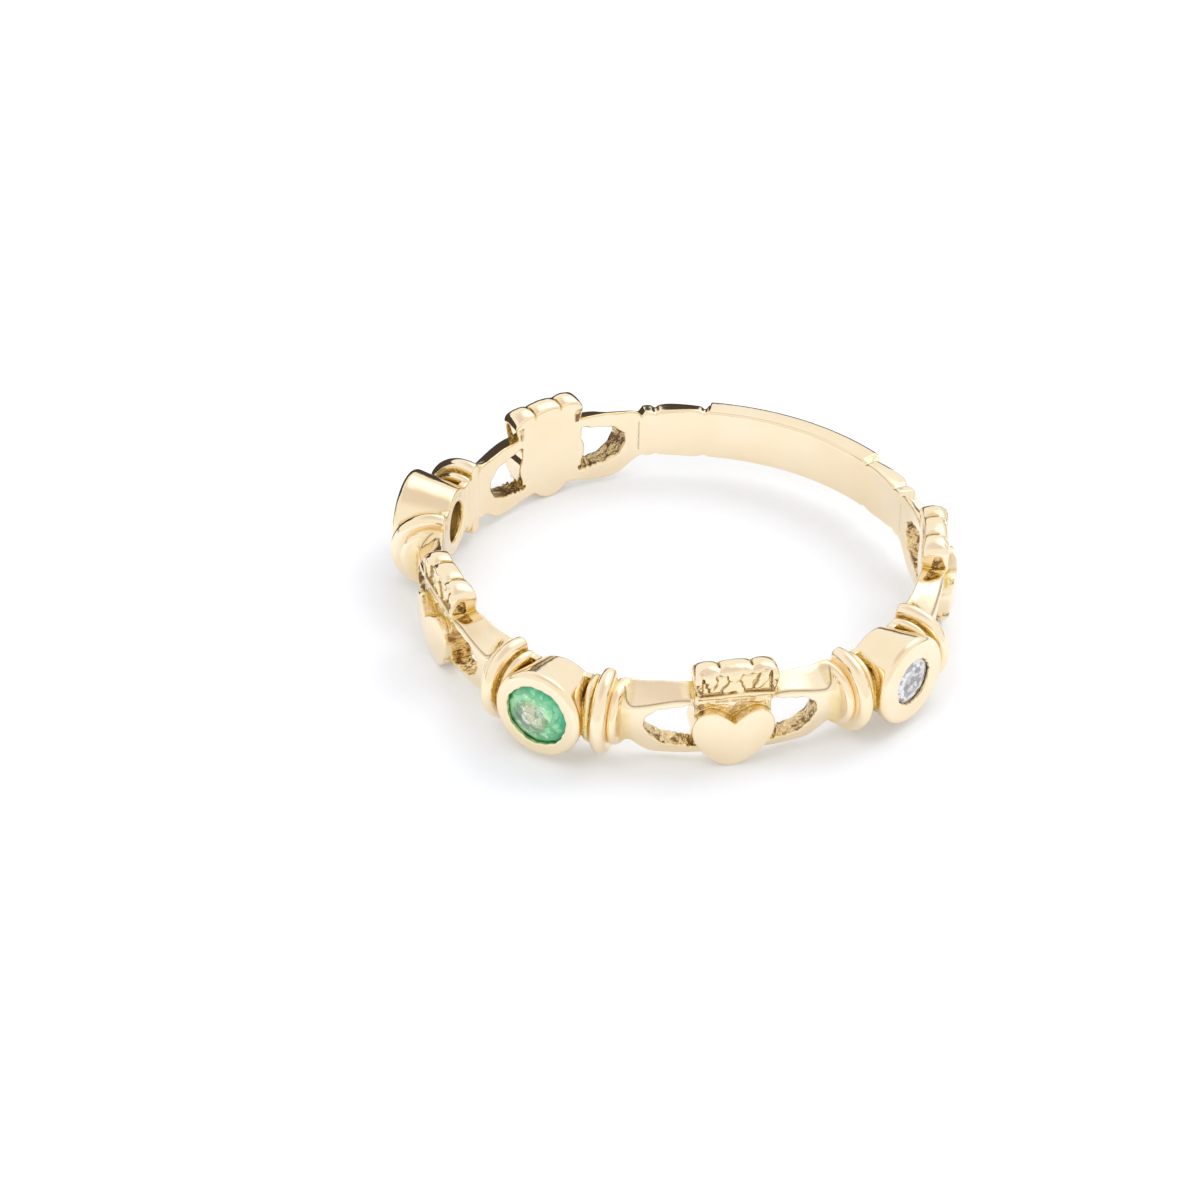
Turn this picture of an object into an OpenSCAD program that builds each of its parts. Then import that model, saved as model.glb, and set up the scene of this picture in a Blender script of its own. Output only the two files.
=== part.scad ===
// Claddagh eternity ring, lying on its side: the finger's axis is Z and the coloured stone faces -Y.
// A cast band carries three bezel-set stones, with a crowned heart held by two hands between them.

/* [Finger hole and layout] */
// Inside diameter of the ring
bore_d = 17.3; // [16:0.1:22]
// Distance along the band from a bezel's middle to the next heart's middle
pitch = 6.28; // [6.2:0.02:6.5]
// Height over the finger hole at which lengths along the band are measured
line_depth = 0.6; // [0.58:0.01:0.64]
// Depth of the arms and hands, from the finger out, along their middle
arm_depth = 0.96; // [0.8:0.02:1.1]
// Depth of the arms and hands at their edges
arm_edge = 0.74; // [0.6:0.02:0.9]
// How much lower the arms' upper edge is outside than at the finger
arm_fall = 0.26; // [0:0.02:0.3]

/* [Shank] */
// Width of the plain shank behind
shank_w = 2.06; // [1.6:0.02:2.6]
// Depth of the shank at its edges
shank_edge = 0.78; // [0.6:0.02:1]
// How much deeper the shank is along its middle
shank_crown = 0.3; // [0.1:0.02:0.5]
// Length of the worked shoulder between the last heart's wrist and the shank
shoulder_len = 2.9; // [2.6:0.05:3.2]

/* [Heart, hands and crown] */
// Greatest width of the heart
heart_w = 2.9; // [2.5:0.05:3]
// Height of the heart from the top of its lobes to its tip
heart_h = 2.52; // [2.4:0.02:2.7]
// How far the heart's tip hangs below the middle of the band
heart_drop = 1.95; // [1.9:0.01:2]
// How far the heart's face stands proud of the arms
heart_proud = 0.34; // [0.2:0.02:0.5]
// Greatest width of the crown
crown_w = 3.04; // [2.7:0.02:3.2]
// Top of the crown above the middle of the band
crown_top = 2.1; // [2:0.02:2.4]
// Depth of the crown from the finger out
crown_depth = 0.86; // [0.7:0.02:1]
// How deep the crown's pattern is cut
crown_cut = 0.22; // [0.08:0.02:0.26]
// How deep the pocket in each of the crown's ends is
crown_pocket = 0.3; // [0.1:0.02:0.4]
// Height of that pocket
pocket_rise = 0.6; // [0.4:0.02:0.64]
// Wall left between a pocket and the finger
pocket_back = 0.24; // [0.16:0.02:0.3]
// Wall left between a pocket and the cut pattern
pocket_front = 0.1; // [0.06:0.01:0.14]
// Upper edge of the arms above the middle of the band
arm_top = 1.18; // [1.1:0.01:1.25]
// Lower edge of the hands below the middle of the band
hand_drop = 1.76; // [1.6:0.02:1.8]

/* [Bezels and collars] */
// Outside diameter of a bezel at its face
bezel_d = 3.46; // [3.2:0.02:3.6]
// Outside diameter of a bezel where it meets the finger hole
bezel_back_d = 2.6; // [2.4:0.02:3]
// Height of a bezel's face above the finger hole
bezel_h = 1.99; // [1.9:0.01:2.3]
// Rounding of a bezel's outer edge
rim_round = 0.3; // [0.1:0.02:0.34]
// Diameter of the hole behind each stone
back_hole_d = 1.5; // [1.2:0.05:1.6]
// Diameter of the big collar beside a bezel
collar_d = 3.12; // [2.9:0.02:3.2]
// Width of the big collar along the band
collar_w = 0.56; // [0.5:0.02:0.64]
// How far the big collar runs in under the bezel's rim
collar_tuck = 0.14; // [0.05:0.01:0.2]
// Width of the neck ring between a bezel and its collar
neck_w = 0.4; // [0.3:0.02:0.5]
// Diameter of the neck ring
neck_d = 2.44; // [2.2:0.02:2.6]
// Height of the collars' axis over the finger hole
turn_depth = 0.46; // [0.42:0.01:0.5]
// How far the collars' axis lies below the middle of the band
collar_fall = 0.1; // [0:0.01:0.15]
// Diameter of the small cuff at a wrist
cuff_d = 2.3; // [2.1:0.02:2.5]
// Width of the small cuff along the band
cuff_w = 0.26; // [0.2:0.02:0.3]
// Width of the shallow grooves that part the turned members
turned_gap = 0.04; // [0.03:0.01:0.05]
// Depth of the plain strip at the finger, behind the turned members
strip_depth = 0.3; // [0.2:0.02:0.4]

/* [Stones] */
// Girdle diameter of the coloured stone
emerald_d = 2.46; // [2.1:0.02:2.6]
// Girdle diameter of each clear stone
diamond_d = 1.9; // [1.7:0.02:2.2]
// Depth of a stone's table below the bezel's face
table_sink = 0.08; // [0.04:0.01:0.12]
// How far the bezel's lip reaches over a stone's girdle
lip = 0.07; // [0.05:0.01:0.1]
// Clearance all round a stone in its seat
stone_gap = 0.02; // [0.02:0.005:0.03]

/* [Hidden] */
$fn = 64;

gold = [0.95, 0.78, 0.45];
bore_r = bore_d / 2;
// The radius along which lengths on the band are measured, and that of the collars' axis
line_r = bore_r + line_depth;
turn_r = bore_r + turn_depth;
front = 270;
emerald_at = front;
diamond_at = 2 * pitch_angle();
heart_at = [for (k = [-3, -1, 1, 3]) k * pitch_angle()];

// Turned members beside a bezel: how far each one's middle is from the bezel's middle
collar_at = bezel_d / 2 - collar_tuck + collar_w / 2;
neck_at = collar_at - (collar_w + neck_w) / 2 + turned_gap;
cuff_at = collar_at + (collar_w + cuff_w) / 2 + turned_gap;
turned_end = cuff_at + cuff_w / 2 + turned_gap;
core_d = 0.8 * cuff_d;
// Half the length of arms, hands and heart, and how far an arm runs on into its cuff
half_motif = pitch - turned_end;
wrist_run = 0.04;
// Solids that end at the finger hole start this far inside it, so that even the far end of a
// straight drawing lies inside the hole, which cuts them back
inset = bore_r - sqrt(pow(bore_r, 2) - pow((1 + wrist_run) * half_motif, 2)) + 0.1;

// Stone proportions as shares of the girdle's radius
table_share = 0.58;
crown_share = 0.26;
girdle_share = 0.05;
pavilion_share = 0.7;

function pitch_angle() = pitch / line_r * 180 / PI;
function angle_of(len, r = line_r) = len / r * 180 / PI;

// A smooth curve through the rows of p, closed on itself, with n steps between rows
function smooth_loop(p, n) = [
    for (i = [0:len(p) - 1])
        for (s = [0:n - 1])
            spline(p[(i + len(p) - 1) % len(p)], p[i], p[(i + 1) % len(p)], p[(i + 2) % len(p)], s / n)
];
// The same through an open row of points, which ends on its last point
function smooth_row(p, n) = concat(
    [
        for (i = [0:len(p) - 2])
            for (s = [0:n - 1])
                spline(p[max(i - 1, 0)], p[i], p[i + 1], p[min(i + 2, len(p) - 1)], s / n)
    ],
    [p[len(p) - 1]]
);
function spline(a, b, c, d, t) = 0.5 * (2 * b + (c - a) * t + (2 * a - 5 * b + 4 * c - d) * t * t
    + (3 * b - a - 3 * c + d) * t * t * t);
function mirrored(p) = [for (i = [len(p) - 1:-1:0]) [-p[i][0], p[i][1]]];

// Puts a drawing on the ring at an angle: its X runs along the band, its Y up and its Z out
module on_band(angle) {
    rotate([0, 0, angle])
        rotate([90, 0, 90])
            children();
}

// A drawing carried out from the finger hole to a height over it
module raised(height) {
    translate([0, 0, bore_r - inset])
        linear_extrude(height + inset)
            children();
}

// A ring of one section: edge deep at its rims, crown deeper in the middle, 2 * half wide
module band_shell(edge, crown, half, angle = 360) {
    arc_r = (half * half + crown * crown) / (2 * crown);
    rotate_extrude(angle = angle, $fn = 180)
        intersection() {
            translate([bore_r - inset, -half])
                square([edge + crown + inset, 2 * half]);
            translate([bore_r + edge + crown - arc_r, 0])
                circle(r = arc_r, $fn = 180);
        }
}

// The section that arms, hands and shoulders are carved to: round outside, with falling edges
module arm_section() {
    half = 1.1 * hand_drop;
    crown = (arm_depth - arm_edge) * pow(half / arm_top, 2);
    arc_r = (half * half + crown * crown) / (2 * crown);
    top_slope = arm_fall / arm_edge;
    low_slope = 0.8 * top_slope;
    outer = 2 * arm_edge;
    rotate_extrude($fn = 180)
        intersection() {
            polygon([
                [bore_r - inset, -hand_drop - inset * low_slope],
                [bore_r + outer, -hand_drop + outer * low_slope],
                [bore_r + outer, arm_top - outer * top_slope],
                [bore_r - inset, arm_top + inset * top_slope]
            ]);
            translate([bore_r + arm_depth - arc_r, 0])
                circle(r = arc_r, $fn = 180);
        }
}

// Hand and arm, drawn for the right side. Columns: along, as a share of half the motif;
// up, as a share of hand_drop
hand_rows = [
    [0.00, -0.85],
    [0.30, -0.90],
    [0.45, -0.99],
    [0.60, -1.02],
    [0.73, -0.92],
    [0.84, -0.72],
    [0.93, -0.55],
    [1.00 + wrist_run, -0.50]
];
// Upper edge of the arm: along as before; up, as a share of arm_top. The last rows run above the
// section that the arms are carved to, which gives the edge there
arm_rows = [
    [1.00 + wrist_run, 0.66],
    [0.92, 0.73],
    [0.83, 0.88],
    [0.72, 1.01],
    [0.60, 1.10]
];
// Opening between the hand's fingers and the arm: along, as a share of half the motif;
// up, as a share of hand_drop below the middle and of arm_top above it
opening_rows = [
    [0.33, 0.56],
    [0.50, 0.52],
    [0.67, 0.36],
    [0.785, 0.06],
    [0.775, -0.14],
    [0.71, -0.36],
    [0.59, -0.53],
    [0.46, -0.59],
    [0.33, -0.60],
    [0.29, 0.00]
];
function motif_scale(row) = [row[0] * half_motif, row[1] * (row[1] < 0 ? hand_drop : arm_top)];

module hands_outline() {
    low = smooth_row([for (r = hand_rows) motif_scale(r)], 3);
    top = smooth_row([for (r = arm_rows) motif_scale(r)], 2);
    half = concat(low, top);
    polygon(concat(half, mirrored(half)));
}

module hand_openings() {
    p = smooth_loop([for (r = opening_rows) motif_scale(r)], 3);
    for (side = [-1, 1])
        scale([side, 1])
            polygon(p);
}

// Heart, right half from the notch to the tip. Columns: out, as a share of half its width;
// down from the top of the lobes, as a share of its height
heart_rows = [
    [0.00, 0.175],
    [0.17, 0.095],
    [0.38, 0.02],
    [0.60, 0.00],
    [0.85, 0.07],
    [1.00, 0.265],
    [0.95, 0.48],
    [0.75, 0.70],
    [0.45, 0.88],
    [0.19, 0.975],
    [0.00, 1.00]
];

module heart_outline() {
    lobes_z = heart_h - heart_drop;
    half = smooth_row([for (r = heart_rows) [r[0] * heart_w / 2, lobes_z - r[1] * heart_h]], 3);
    polygon(concat([for (i = [len(half) - 1:-1:1]) half[i]], [for (p = half) [-p[0], p[1]]]));
}

// Crown, right half from the foot up. Columns: out, as a share of half its width;
// up from the arms' upper edge, as a share of the crown's height over it
crown_rows = [
    [0.90, -0.30],
    [0.94, 0.05],
    [0.98, 0.40],
    [1.00, 0.64],
    [0.93, 0.88],
    [0.76, 0.98],
    [0.56, 0.99],
    [0.40, 0.93],
    [0.34, 0.93],
    [0.20, 1.00],
    [0.00, 1.02]
];
function crown_scale(row) = [row[0] * crown_w / 2, arm_top + row[1] * (crown_top - arm_top)];

module crown_outline() {
    half = smooth_row([for (r = crown_rows) crown_scale(r)], 3);
    polygon(concat(half, mirrored([for (i = [0:len(half) - 2]) half[i]])));
}

// Cut ground of the crown's front, between its ends and above its foot. It runs out through the top
crown_field_rows = [
    [0.84, 0.08],
    [0.87, 0.50],
    [0.83, 0.80],
    [0.79, 1.25],
    [0.00, 1.25]
];
// Raised figures on that ground: a leaf at each side and a flared stem in the middle
leaf_rows = [
    [0.46, 0.12],
    [0.64, 0.14],
    [0.72, 0.42],
    [0.76, 0.70],
    [0.72, 0.88],
    [0.57, 0.86],
    [0.47, 0.56]
];
stem_rows = [
    [0.11, 0.10],
    [0.12, 0.40],
    [0.32, 1.25]
];

module crown_field() {
    half = [for (r = crown_field_rows) crown_scale(r)];
    polygon(concat(half, mirrored([for (i = [0:len(half) - 2]) half[i]])));
}

module crown_figures() {
    leaf = smooth_loop([for (r = leaf_rows) crown_scale(r)], 2);
    for (side = [-1, 1])
        scale([side, 1])
            polygon(leaf);
    stem = [for (r = stem_rows) crown_scale(r)];
    polygon(concat(stem, mirrored(stem)));
}

// The block behind heart and crown, which closes the band between the two openings. Its top stays
// inside the crown
module core_outline() {
    half = 0.44 * crown_w;
    low = 0.55 * hand_drop;
    top = 0.9 * arm_top;
    translate([-half, -low])
        square([2 * half, low + top]);
}

// Two pockets in each end of the crown, with a thin ledge between them
module crown_pockets() {
    low = arm_top - 0.5 * arm_fall;
    out = crown_w / 2 - crown_pocket;
    reach = 2 * crown_pocket;
    deep = crown_depth - crown_cut - pocket_front - pocket_back;
    for (side = [-1, 1])
        translate([side * out, low, bore_r + pocket_back])
            mirror([(1 - side) / 2, 0, 0])
                cube([reach, pocket_rise, deep]);
}

// Arms, hands, heart and crown about one heart's middle
module motif() {
    heart_r = bore_r + arm_depth + heart_proud;
    dome_r = 1.6 * heart_w;
    ground = 0.68 * arm_depth;
    ground_half = 0.43 * crown_w;
    ground_top = 0.6 * arm_top;
    intersection() {
        on_band(0) {
            difference() {
                raised(2 * arm_depth)
                    difference() {
                        hands_outline();
                        hand_openings();
                    }
                // The ground between heart and crown lies lower than the arms
                translate([-ground_half, 0, bore_r + ground])
                    cube([2 * ground_half, ground_top, arm_depth]);
            }
            raised(ground)
                core_outline();
        }
        arm_section();
    }
    intersection() {
        on_band(0)
            raised(2 * arm_depth)
                heart_outline();
        on_band(0)
            translate([0, 0, heart_r - dome_r])
                sphere(r = dome_r, $fn = 96);
    }
    difference() {
        on_band(0)
            raised(crown_depth)
                crown_outline();
        on_band(0)
            translate([0, 0, bore_r + crown_depth - crown_cut])
                linear_extrude(arm_depth)
                    difference() {
                        crown_field();
                        crown_figures();
                    }
        on_band(0)
            crown_pockets();
    }
}

// Turned members on one side of a bezel, on an axis along the band
module turned_side() {
    mid = (collar_at + cuff_at) / 2;
    module bead(at, width, d) {
        translate([0, 0, at - mid])
            rotate_extrude()
                intersection() {
                    translate([0, -width])
                        square([d, 2 * width]);
                    translate([d / 2 - width / 2, 0])
                        union() {
                            circle(d = width, $fn = 32);
                            translate([-d / 2 + width / 2, -width / 2])
                                square([d / 2 - width / 2, width]);
                        }
                }
    }
    rotate([0, 0, angle_of(mid, turn_r)])
        translate([turn_r, 0, -collar_fall])
            rotate([-90, 0, 0]) {
                bead(neck_at, neck_w, neck_d);
                bead(collar_at, collar_w, collar_d);
                bead(cuff_at, cuff_w, cuff_d);
                translate([0, 0, neck_at - mid])
                    cylinder(d = core_d, h = turned_end - neck_at);
            }
}

// Distances below a bezel's face for a stone of girdle diameter d
function girdle_top(d) = table_sink + crown_share * d / 2;
function girdle_low(d) = girdle_top(d) + girdle_share * d / 2;
function culet_at(d) = girdle_low(d) + pavilion_share * d / 2;

// The space inside a bezel: mouth, lip, girdle seat, cone below the stone and back hole
module seat(d) {
    r = d / 2;
    face = bore_r + bezel_h;
    mouth_r = r - lip;
    mouth_top = bore_r + 1.2 * bezel_h;
    seat_r = r + stone_gap;
    hole_r = back_hole_d / 2;
    under_lip = girdle_top(d) - stone_gap - lip * crown_share / (1 - table_share);
    seat_floor = girdle_low(d) + stone_gap;
    run = (seat_r - hole_r) * pavilion_share;
    rotate_extrude()
        polygon([
            [0, mouth_top],
            [mouth_r, mouth_top],
            [mouth_r, face - under_lip],
            [seat_r, face - under_lip],
            [seat_r, face - seat_floor],
            [hole_r, face - seat_floor - run],
            [hole_r, bore_r - 2 * inset],
            [0, bore_r - 2 * inset]
        ]);
}

// A bezel's outside, standing on the finger hole: a cone with a rounded outer edge
module bezel() {
    taper = (bezel_d - bezel_back_d) / 2 / bezel_h;
    slant = sqrt(1 + taper * taper);
    back_r = bezel_back_d / 2 - taper * inset;
    round_z = bezel_h - rim_round;
    round_r = bezel_back_d / 2 + taper * round_z - rim_round * slant;
    rotate_extrude()
        union() {
            polygon([
                [0, -inset],
                [back_r, -inset],
                [round_r + rim_round / slant, round_z - rim_round * taper / slant],
                [round_r, round_z],
                [round_r, bezel_h],
                [0, bezel_h]
            ]);
            translate([round_r, round_z])
                circle(r = rim_round, $fn = 48);
        }
}

// Bezel and the turned members on both its sides, backed by a thin plain strip at the finger
module setting(d) {
    reach = angle_of(collar_at, turn_r);
    strip_half = 0.4 * neck_d;
    rotate([0, 0, -reach])
        rotate_extrude(angle = 2 * reach, $fn = 180)
            translate([bore_r - inset, -strip_half])
                square([strip_depth + inset, 2 * strip_half]);
    for (side = [0, 1])
        mirror([0, side, 0])
            turned_side();
    on_band(0)
        translate([0, 0, bore_r])
            bezel();
}

// Worked shoulder between the last wrist and the shank: a bead, a swelling, a flat and a notch.
// Columns: along, as a share of shoulder_len; half width, as a share of half the shank's width;
// depth, as a share of the shank's greatest depth
shoulder_rows = [
    [-0.04, 0.76, 0.70],
    [0.00, 0.72, 0.60],
    [0.05, 0.80, 0.70],
    [0.12, 0.96, 0.82],
    [0.20, 0.94, 0.82],
    [0.26, 0.88, 0.70],
    [0.33, 0.94, 0.82],
    [0.44, 0.98, 0.90],
    [0.58, 1.00, 0.84],
    [0.74, 1.03, 0.72],
    [0.86, 1.00, 0.62],
    [0.93, 0.92, 0.52],
    [0.97, 0.98, 0.70],
    [1.03, 0.97, 0.96]
];

// Shoulder after the motif at angle 0, on the side away from the bezels
module shoulder() {
    start = half_motif;
    mid = start + shoulder_len / 2;
    deep = shank_edge + shank_crown;
    rows = smooth_row(shoulder_rows, 3);
    along = [for (r = rows) start - mid + r[0] * shoulder_len];
    half = [for (i = [0:len(rows) - 1]) [along[i], rows[i][1] * shank_w / 2]];
    turned = [for (i = [0:len(rows) - 1]) angle_of(mid + along[i])];
    plan = [for (i = [0:len(rows) - 1]) (bore_r + rows[i][2] * deep) * [cos(turned[i]), sin(turned[i])]];
    intersection() {
        on_band(angle_of(mid))
            raised(2 * arm_depth)
                polygon(concat(half, [for (i = [len(half) - 1:-1:0]) [half[i][0], -half[i][1]]]));
        translate([0, 0, -shank_w])
            linear_extrude(2 * shank_w)
                polygon(concat([[0, 0]], plan));
        arm_section();
    }
}

module shank() {
    last = 3 * pitch_angle() + angle_of(half_motif + shoulder_len);
    rotate([0, 0, front + last])
        band_shell(shank_edge, shank_crown, shank_w / 2, angle = 360 - 2 * last);
}

module cast_band() {
    color(gold)
        difference() {
            union() {
                for (a = heart_at)
                    rotate([0, 0, front + a])
                        motif();
                for (side = [0, 1])
                    rotate([0, 0, front])
                        mirror([0, side, 0])
                            rotate([0, 0, 3 * pitch_angle()])
                                shoulder();
                rotate([0, 0, emerald_at])
                    setting(emerald_d);
                for (side = [-1, 1])
                    rotate([0, 0, front + side * diamond_at])
                        setting(diamond_d);
                shank();
            }
            cylinder(r = bore_r, h = 4 * crown_top, center = true, $fn = 180);
            rotate([0, 0, emerald_at])
                on_band(0)
                    seat(emerald_d);
            for (side = [-1, 1])
                rotate([0, 0, front + side * diamond_at])
                    on_band(0)
                        seat(diamond_d);
        }
}

// A round brilliant cut with its table up: eight-sided table, sixteen-sided girdle and a point below
module brilliant(d) {
    r = d / 2;
    sides = 16;
    crown_h = crown_share * r;
    girdle_h = girdle_share * r;
    // Heights are measured down from the table
    table_pts = [for (i = [0:7]) [table_share * r * cos(45 * i), table_share * r * sin(45 * i), 0]];
    star_r = 0.79 * r;
    star_z = -0.46 * crown_h;
    star_pts = [for (i = [0:7]) [star_r * cos(45 * i + 22.5), star_r * sin(45 * i + 22.5), star_z]];
    top_pts = [for (i = [0:sides - 1]) [r * cos(22.5 * i), r * sin(22.5 * i), -crown_h]];
    low_pts = [for (p = top_pts) [p[0], p[1], p[2] - girdle_h]];
    main_r = 0.3 * r;
    main_z = -crown_h - girdle_h - pavilion_share * r * 0.72;
    main_pts = [for (i = [0:7]) [main_r * cos(45 * i + 22.5), main_r * sin(45 * i + 22.5), main_z]];
    culet = [[0, 0, -crown_h - girdle_h - pavilion_share * r]];
    t0 = 0;
    s0 = 8;
    g0 = 16;
    l0 = 32;
    m0 = 48;
    c0 = 56;
    faces = concat(
        [[for (i = [7:-1:0]) t0 + i]],
        [for (i = [0:7]) [t0 + i, t0 + (i + 1) % 8, s0 + i]],
        [for (i = [0:7]) [t0 + i, s0 + i, g0 + 2 * i]],
        [for (i = [0:7]) [t0 + i, g0 + 2 * i, s0 + (i + 7) % 8]],
        [for (i = [0:7]) [s0 + i, g0 + 2 * i + 1, g0 + 2 * i]],
        [for (i = [0:7]) [s0 + i, g0 + (2 * i + 2) % 16, g0 + 2 * i + 1]],
        [for (i = [0:15]) [g0 + i, g0 + (i + 1) % 16, l0 + (i + 1) % 16]],
        [for (i = [0:15]) [g0 + i, l0 + (i + 1) % 16, l0 + i]],
        [for (i = [0:7]) [l0 + 2 * i, l0 + 2 * i + 1, m0 + i]],
        [for (i = [0:7]) [l0 + 2 * i + 1, l0 + (2 * i + 2) % 16, m0 + i]],
        [for (i = [0:7]) [l0 + 2 * i, m0 + i, m0 + (i + 7) % 8]],
        [for (i = [0:7]) [m0 + i, c0, m0 + (i + 7) % 8]]
    );
    polyhedron(points = concat(table_pts, star_pts, top_pts, low_pts, main_pts, culet),
        faces = faces, convexity = 4);
}

module set_stone(angle, d) {
    rotate([0, 0, angle])
        on_band(0)
            translate([0, 0, bore_r + bezel_h - table_sink])
                rotate([0, 0, 11.25])
                    brilliant(d);
}

module emerald() {
    color([0.1, 0.62, 0.42])
        set_stone(emerald_at, emerald_d);
}

module diamond_left() {
    color([0.9, 0.93, 0.96])
        set_stone(front - diamond_at, diamond_d);
}

module diamond_right() {
    color([0.9, 0.93, 0.96])
        set_stone(front + diamond_at, diamond_d);
}

cast_band();
emerald();
diamond_left();
diamond_right();
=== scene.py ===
"""Looks of a cast gold claddagh ring that holds a round emerald and two round diamonds.

The ring lies on its side: its finger axis is Z and the emerald faces -Y. Shapes are worked out in
millimetres in that frame and written to their meshes in metres. The cast and soldered forms are
pierced and flow into each other, which no grid over two parameters can follow, so they are fields
over space, meshed where the field is zero. The plain band behind is a surface of two parameters,
and the stones are rings of points joined by flat facets.
"""

import logging
import math
from abc import ABC, abstractmethod
from dataclasses import dataclass, field
from enum import Enum
from typing import ClassVar

import bpy
import numpy as np
from mathutils import Matrix


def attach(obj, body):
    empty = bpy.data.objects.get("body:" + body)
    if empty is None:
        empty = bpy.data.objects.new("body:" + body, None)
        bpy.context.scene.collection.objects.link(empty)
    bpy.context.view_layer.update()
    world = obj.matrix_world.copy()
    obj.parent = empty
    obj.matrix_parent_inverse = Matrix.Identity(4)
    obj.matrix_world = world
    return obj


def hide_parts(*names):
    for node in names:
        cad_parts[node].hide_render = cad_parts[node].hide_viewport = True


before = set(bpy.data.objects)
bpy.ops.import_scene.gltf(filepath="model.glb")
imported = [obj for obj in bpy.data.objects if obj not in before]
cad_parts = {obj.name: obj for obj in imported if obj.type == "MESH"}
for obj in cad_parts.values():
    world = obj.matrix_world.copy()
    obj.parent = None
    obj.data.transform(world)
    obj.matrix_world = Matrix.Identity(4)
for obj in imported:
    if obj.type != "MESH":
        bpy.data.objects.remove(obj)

MM = 0.001
TINY = 1e-6
BODY = "root"
BAND = "cast_band"
log = logging.getLogger("ring")


class Slot(Enum):
    """The record's material slots."""

    GOLD = "gold"
    GREEN = "green_stone"
    CLEAR = "clear_stone"


class Spread(Enum):
    """How a value runs between the ends of its range."""

    EVEN = "LINEAR"
    EASED = "SMOOTHSTEP"


def smooth_max(a: np.ndarray, b: np.ndarray, blend: float) -> np.ndarray:
    """Joins two fields as their larger value, with a rounding where they come close.

    Formula: max(a, b) + n * n * blend / 4, where n = (blend - |a - b|) / blend, not below 0.

    Args:
        a: First field, negative inside its form.
        b: Second field.
        blend: Width of the rounding, in millimetres.

    Returns:
        The field of what both forms share.
    """
    near = np.maximum(blend - np.abs(a - b), 0.0) / blend
    return np.maximum(a, b) + near * near * (blend / 4)


def smooth_min(a: np.ndarray, b: np.ndarray, blend: float) -> np.ndarray:
    """Joins two fields as one form, with a fillet of about blend where they meet."""
    return -smooth_max(-a, -b, blend)


def round_max(a: np.ndarray, b: np.ndarray, radius: float) -> np.ndarray:
    """Joins two fields as what both share, with their common edge rounded to a true radius.

    Formula: past a line that lies radius inside each face, the distance from that line less the
    radius; elsewhere the larger value.
    """
    near = np.hypot(np.maximum(a + radius, 0.0), np.maximum(b + radius, 0.0)) - radius
    return np.where((a > -radius) & (b > -radius), near, np.maximum(a, b))


def ease(value: np.ndarray, low: float, high: float) -> np.ndarray:
    """Runs smoothly from 0 at low to 1 at high, as 3 t^2 - 2 t^3."""
    t = np.clip((value - low) / (high - low), 0.0, 1.0)
    return t * t * (3.0 - 2.0 * t)


def smooth_line(rows: list, steps: int, closed: bool = False) -> np.ndarray:
    """Carries a curve through rows of numbers by the Catmull-Rom rule.

    Args:
        rows: The points, with any number of columns.
        steps: Points made for each stretch between two rows.
        closed: Whether the curve runs back to its first row.

    Returns:
        The curve's points, with the last row added where it is open.
    """
    p = np.asarray(rows, float)
    if closed:
        a, b, c, d = np.roll(p, 1, 0), p, np.roll(p, -1, 0), np.roll(p, -2, 0)
    else:
        ends = np.concatenate([p[:1], p, p[-1:]])
        a, b, c, d = ends[:-3], ends[1:-2], ends[2:-1], ends[3:]
    t = (np.arange(steps) / steps)[None, :, None]
    a, b, c, d = (v[:, None, :] for v in (a, b, c, d))
    curve = 0.5 * (
        2 * b + (c - a) * t + (2 * a - 5 * b + 4 * c - d) * t**2 + (3 * b - a - 3 * c + d) * t**3
    )
    curve = curve.reshape(-1, p.shape[1])
    return curve if closed else np.concatenate([curve, p[-1:]])


def mirrored(points: np.ndarray) -> np.ndarray:
    """The points turned over to the other side of the drawing's middle, in reverse order."""
    return points[::-1] * np.array([-1.0, 1.0])


def hump(distance: np.ndarray, width: float) -> np.ndarray:
    """A smooth rise to 1 at no distance: e to the power of minus the square of distance / width."""
    return np.exp(-((distance / width) ** 2))


def spun(points: np.ndarray, degrees: float) -> np.ndarray:
    """Points carried round the finger axis."""
    a = math.radians(degrees)
    return points @ np.array([[math.cos(a), math.sin(a), 0], [-math.sin(a), math.cos(a), 0], [0, 0, 1]])


def linked(name: str, data: bpy.types.ID) -> bpy.types.Object:
    """Puts a new object into the scene that shows a mesh, a lamp or a camera.

    Args:
        name: The object's name.
        data: What it shows.

    Returns:
        The new object.
    """
    thing = bpy.data.objects.new(name, data)
    bpy.context.scene.collection.objects.link(thing)
    return thing


def flat_faced(name: str, points: np.ndarray, faces: np.ndarray) -> bpy.types.Object:
    """Makes a mesh object with flat faces from points in millimetres and the faces' point numbers.

    Args:
        name: The object's name.
        points: Its points, in millimetres.
        faces: The point numbers of each face.

    Returns:
        The new object, linked to the scene.
    """
    mesh = bpy.data.meshes.new(name)
    mesh.from_pydata((points * MM).tolist(), [], faces.tolist())
    return linked(name, mesh)


def stand(thing: bpy.types.Object, axes: tuple, place: np.ndarray) -> None:
    """Lays a thing's own axes along three ways and puts it at a place in millimetres.

    Args:
        thing: The camera or lamp.
        axes: The ways of its X, Y and Z, each one long.
        place: Its place, in millimetres.
    """
    matrix = np.eye(4)
    matrix[:3] = np.stack([*axes, place * MM], -1)
    thing.matrix_world = Matrix(matrix.tolist())


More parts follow.
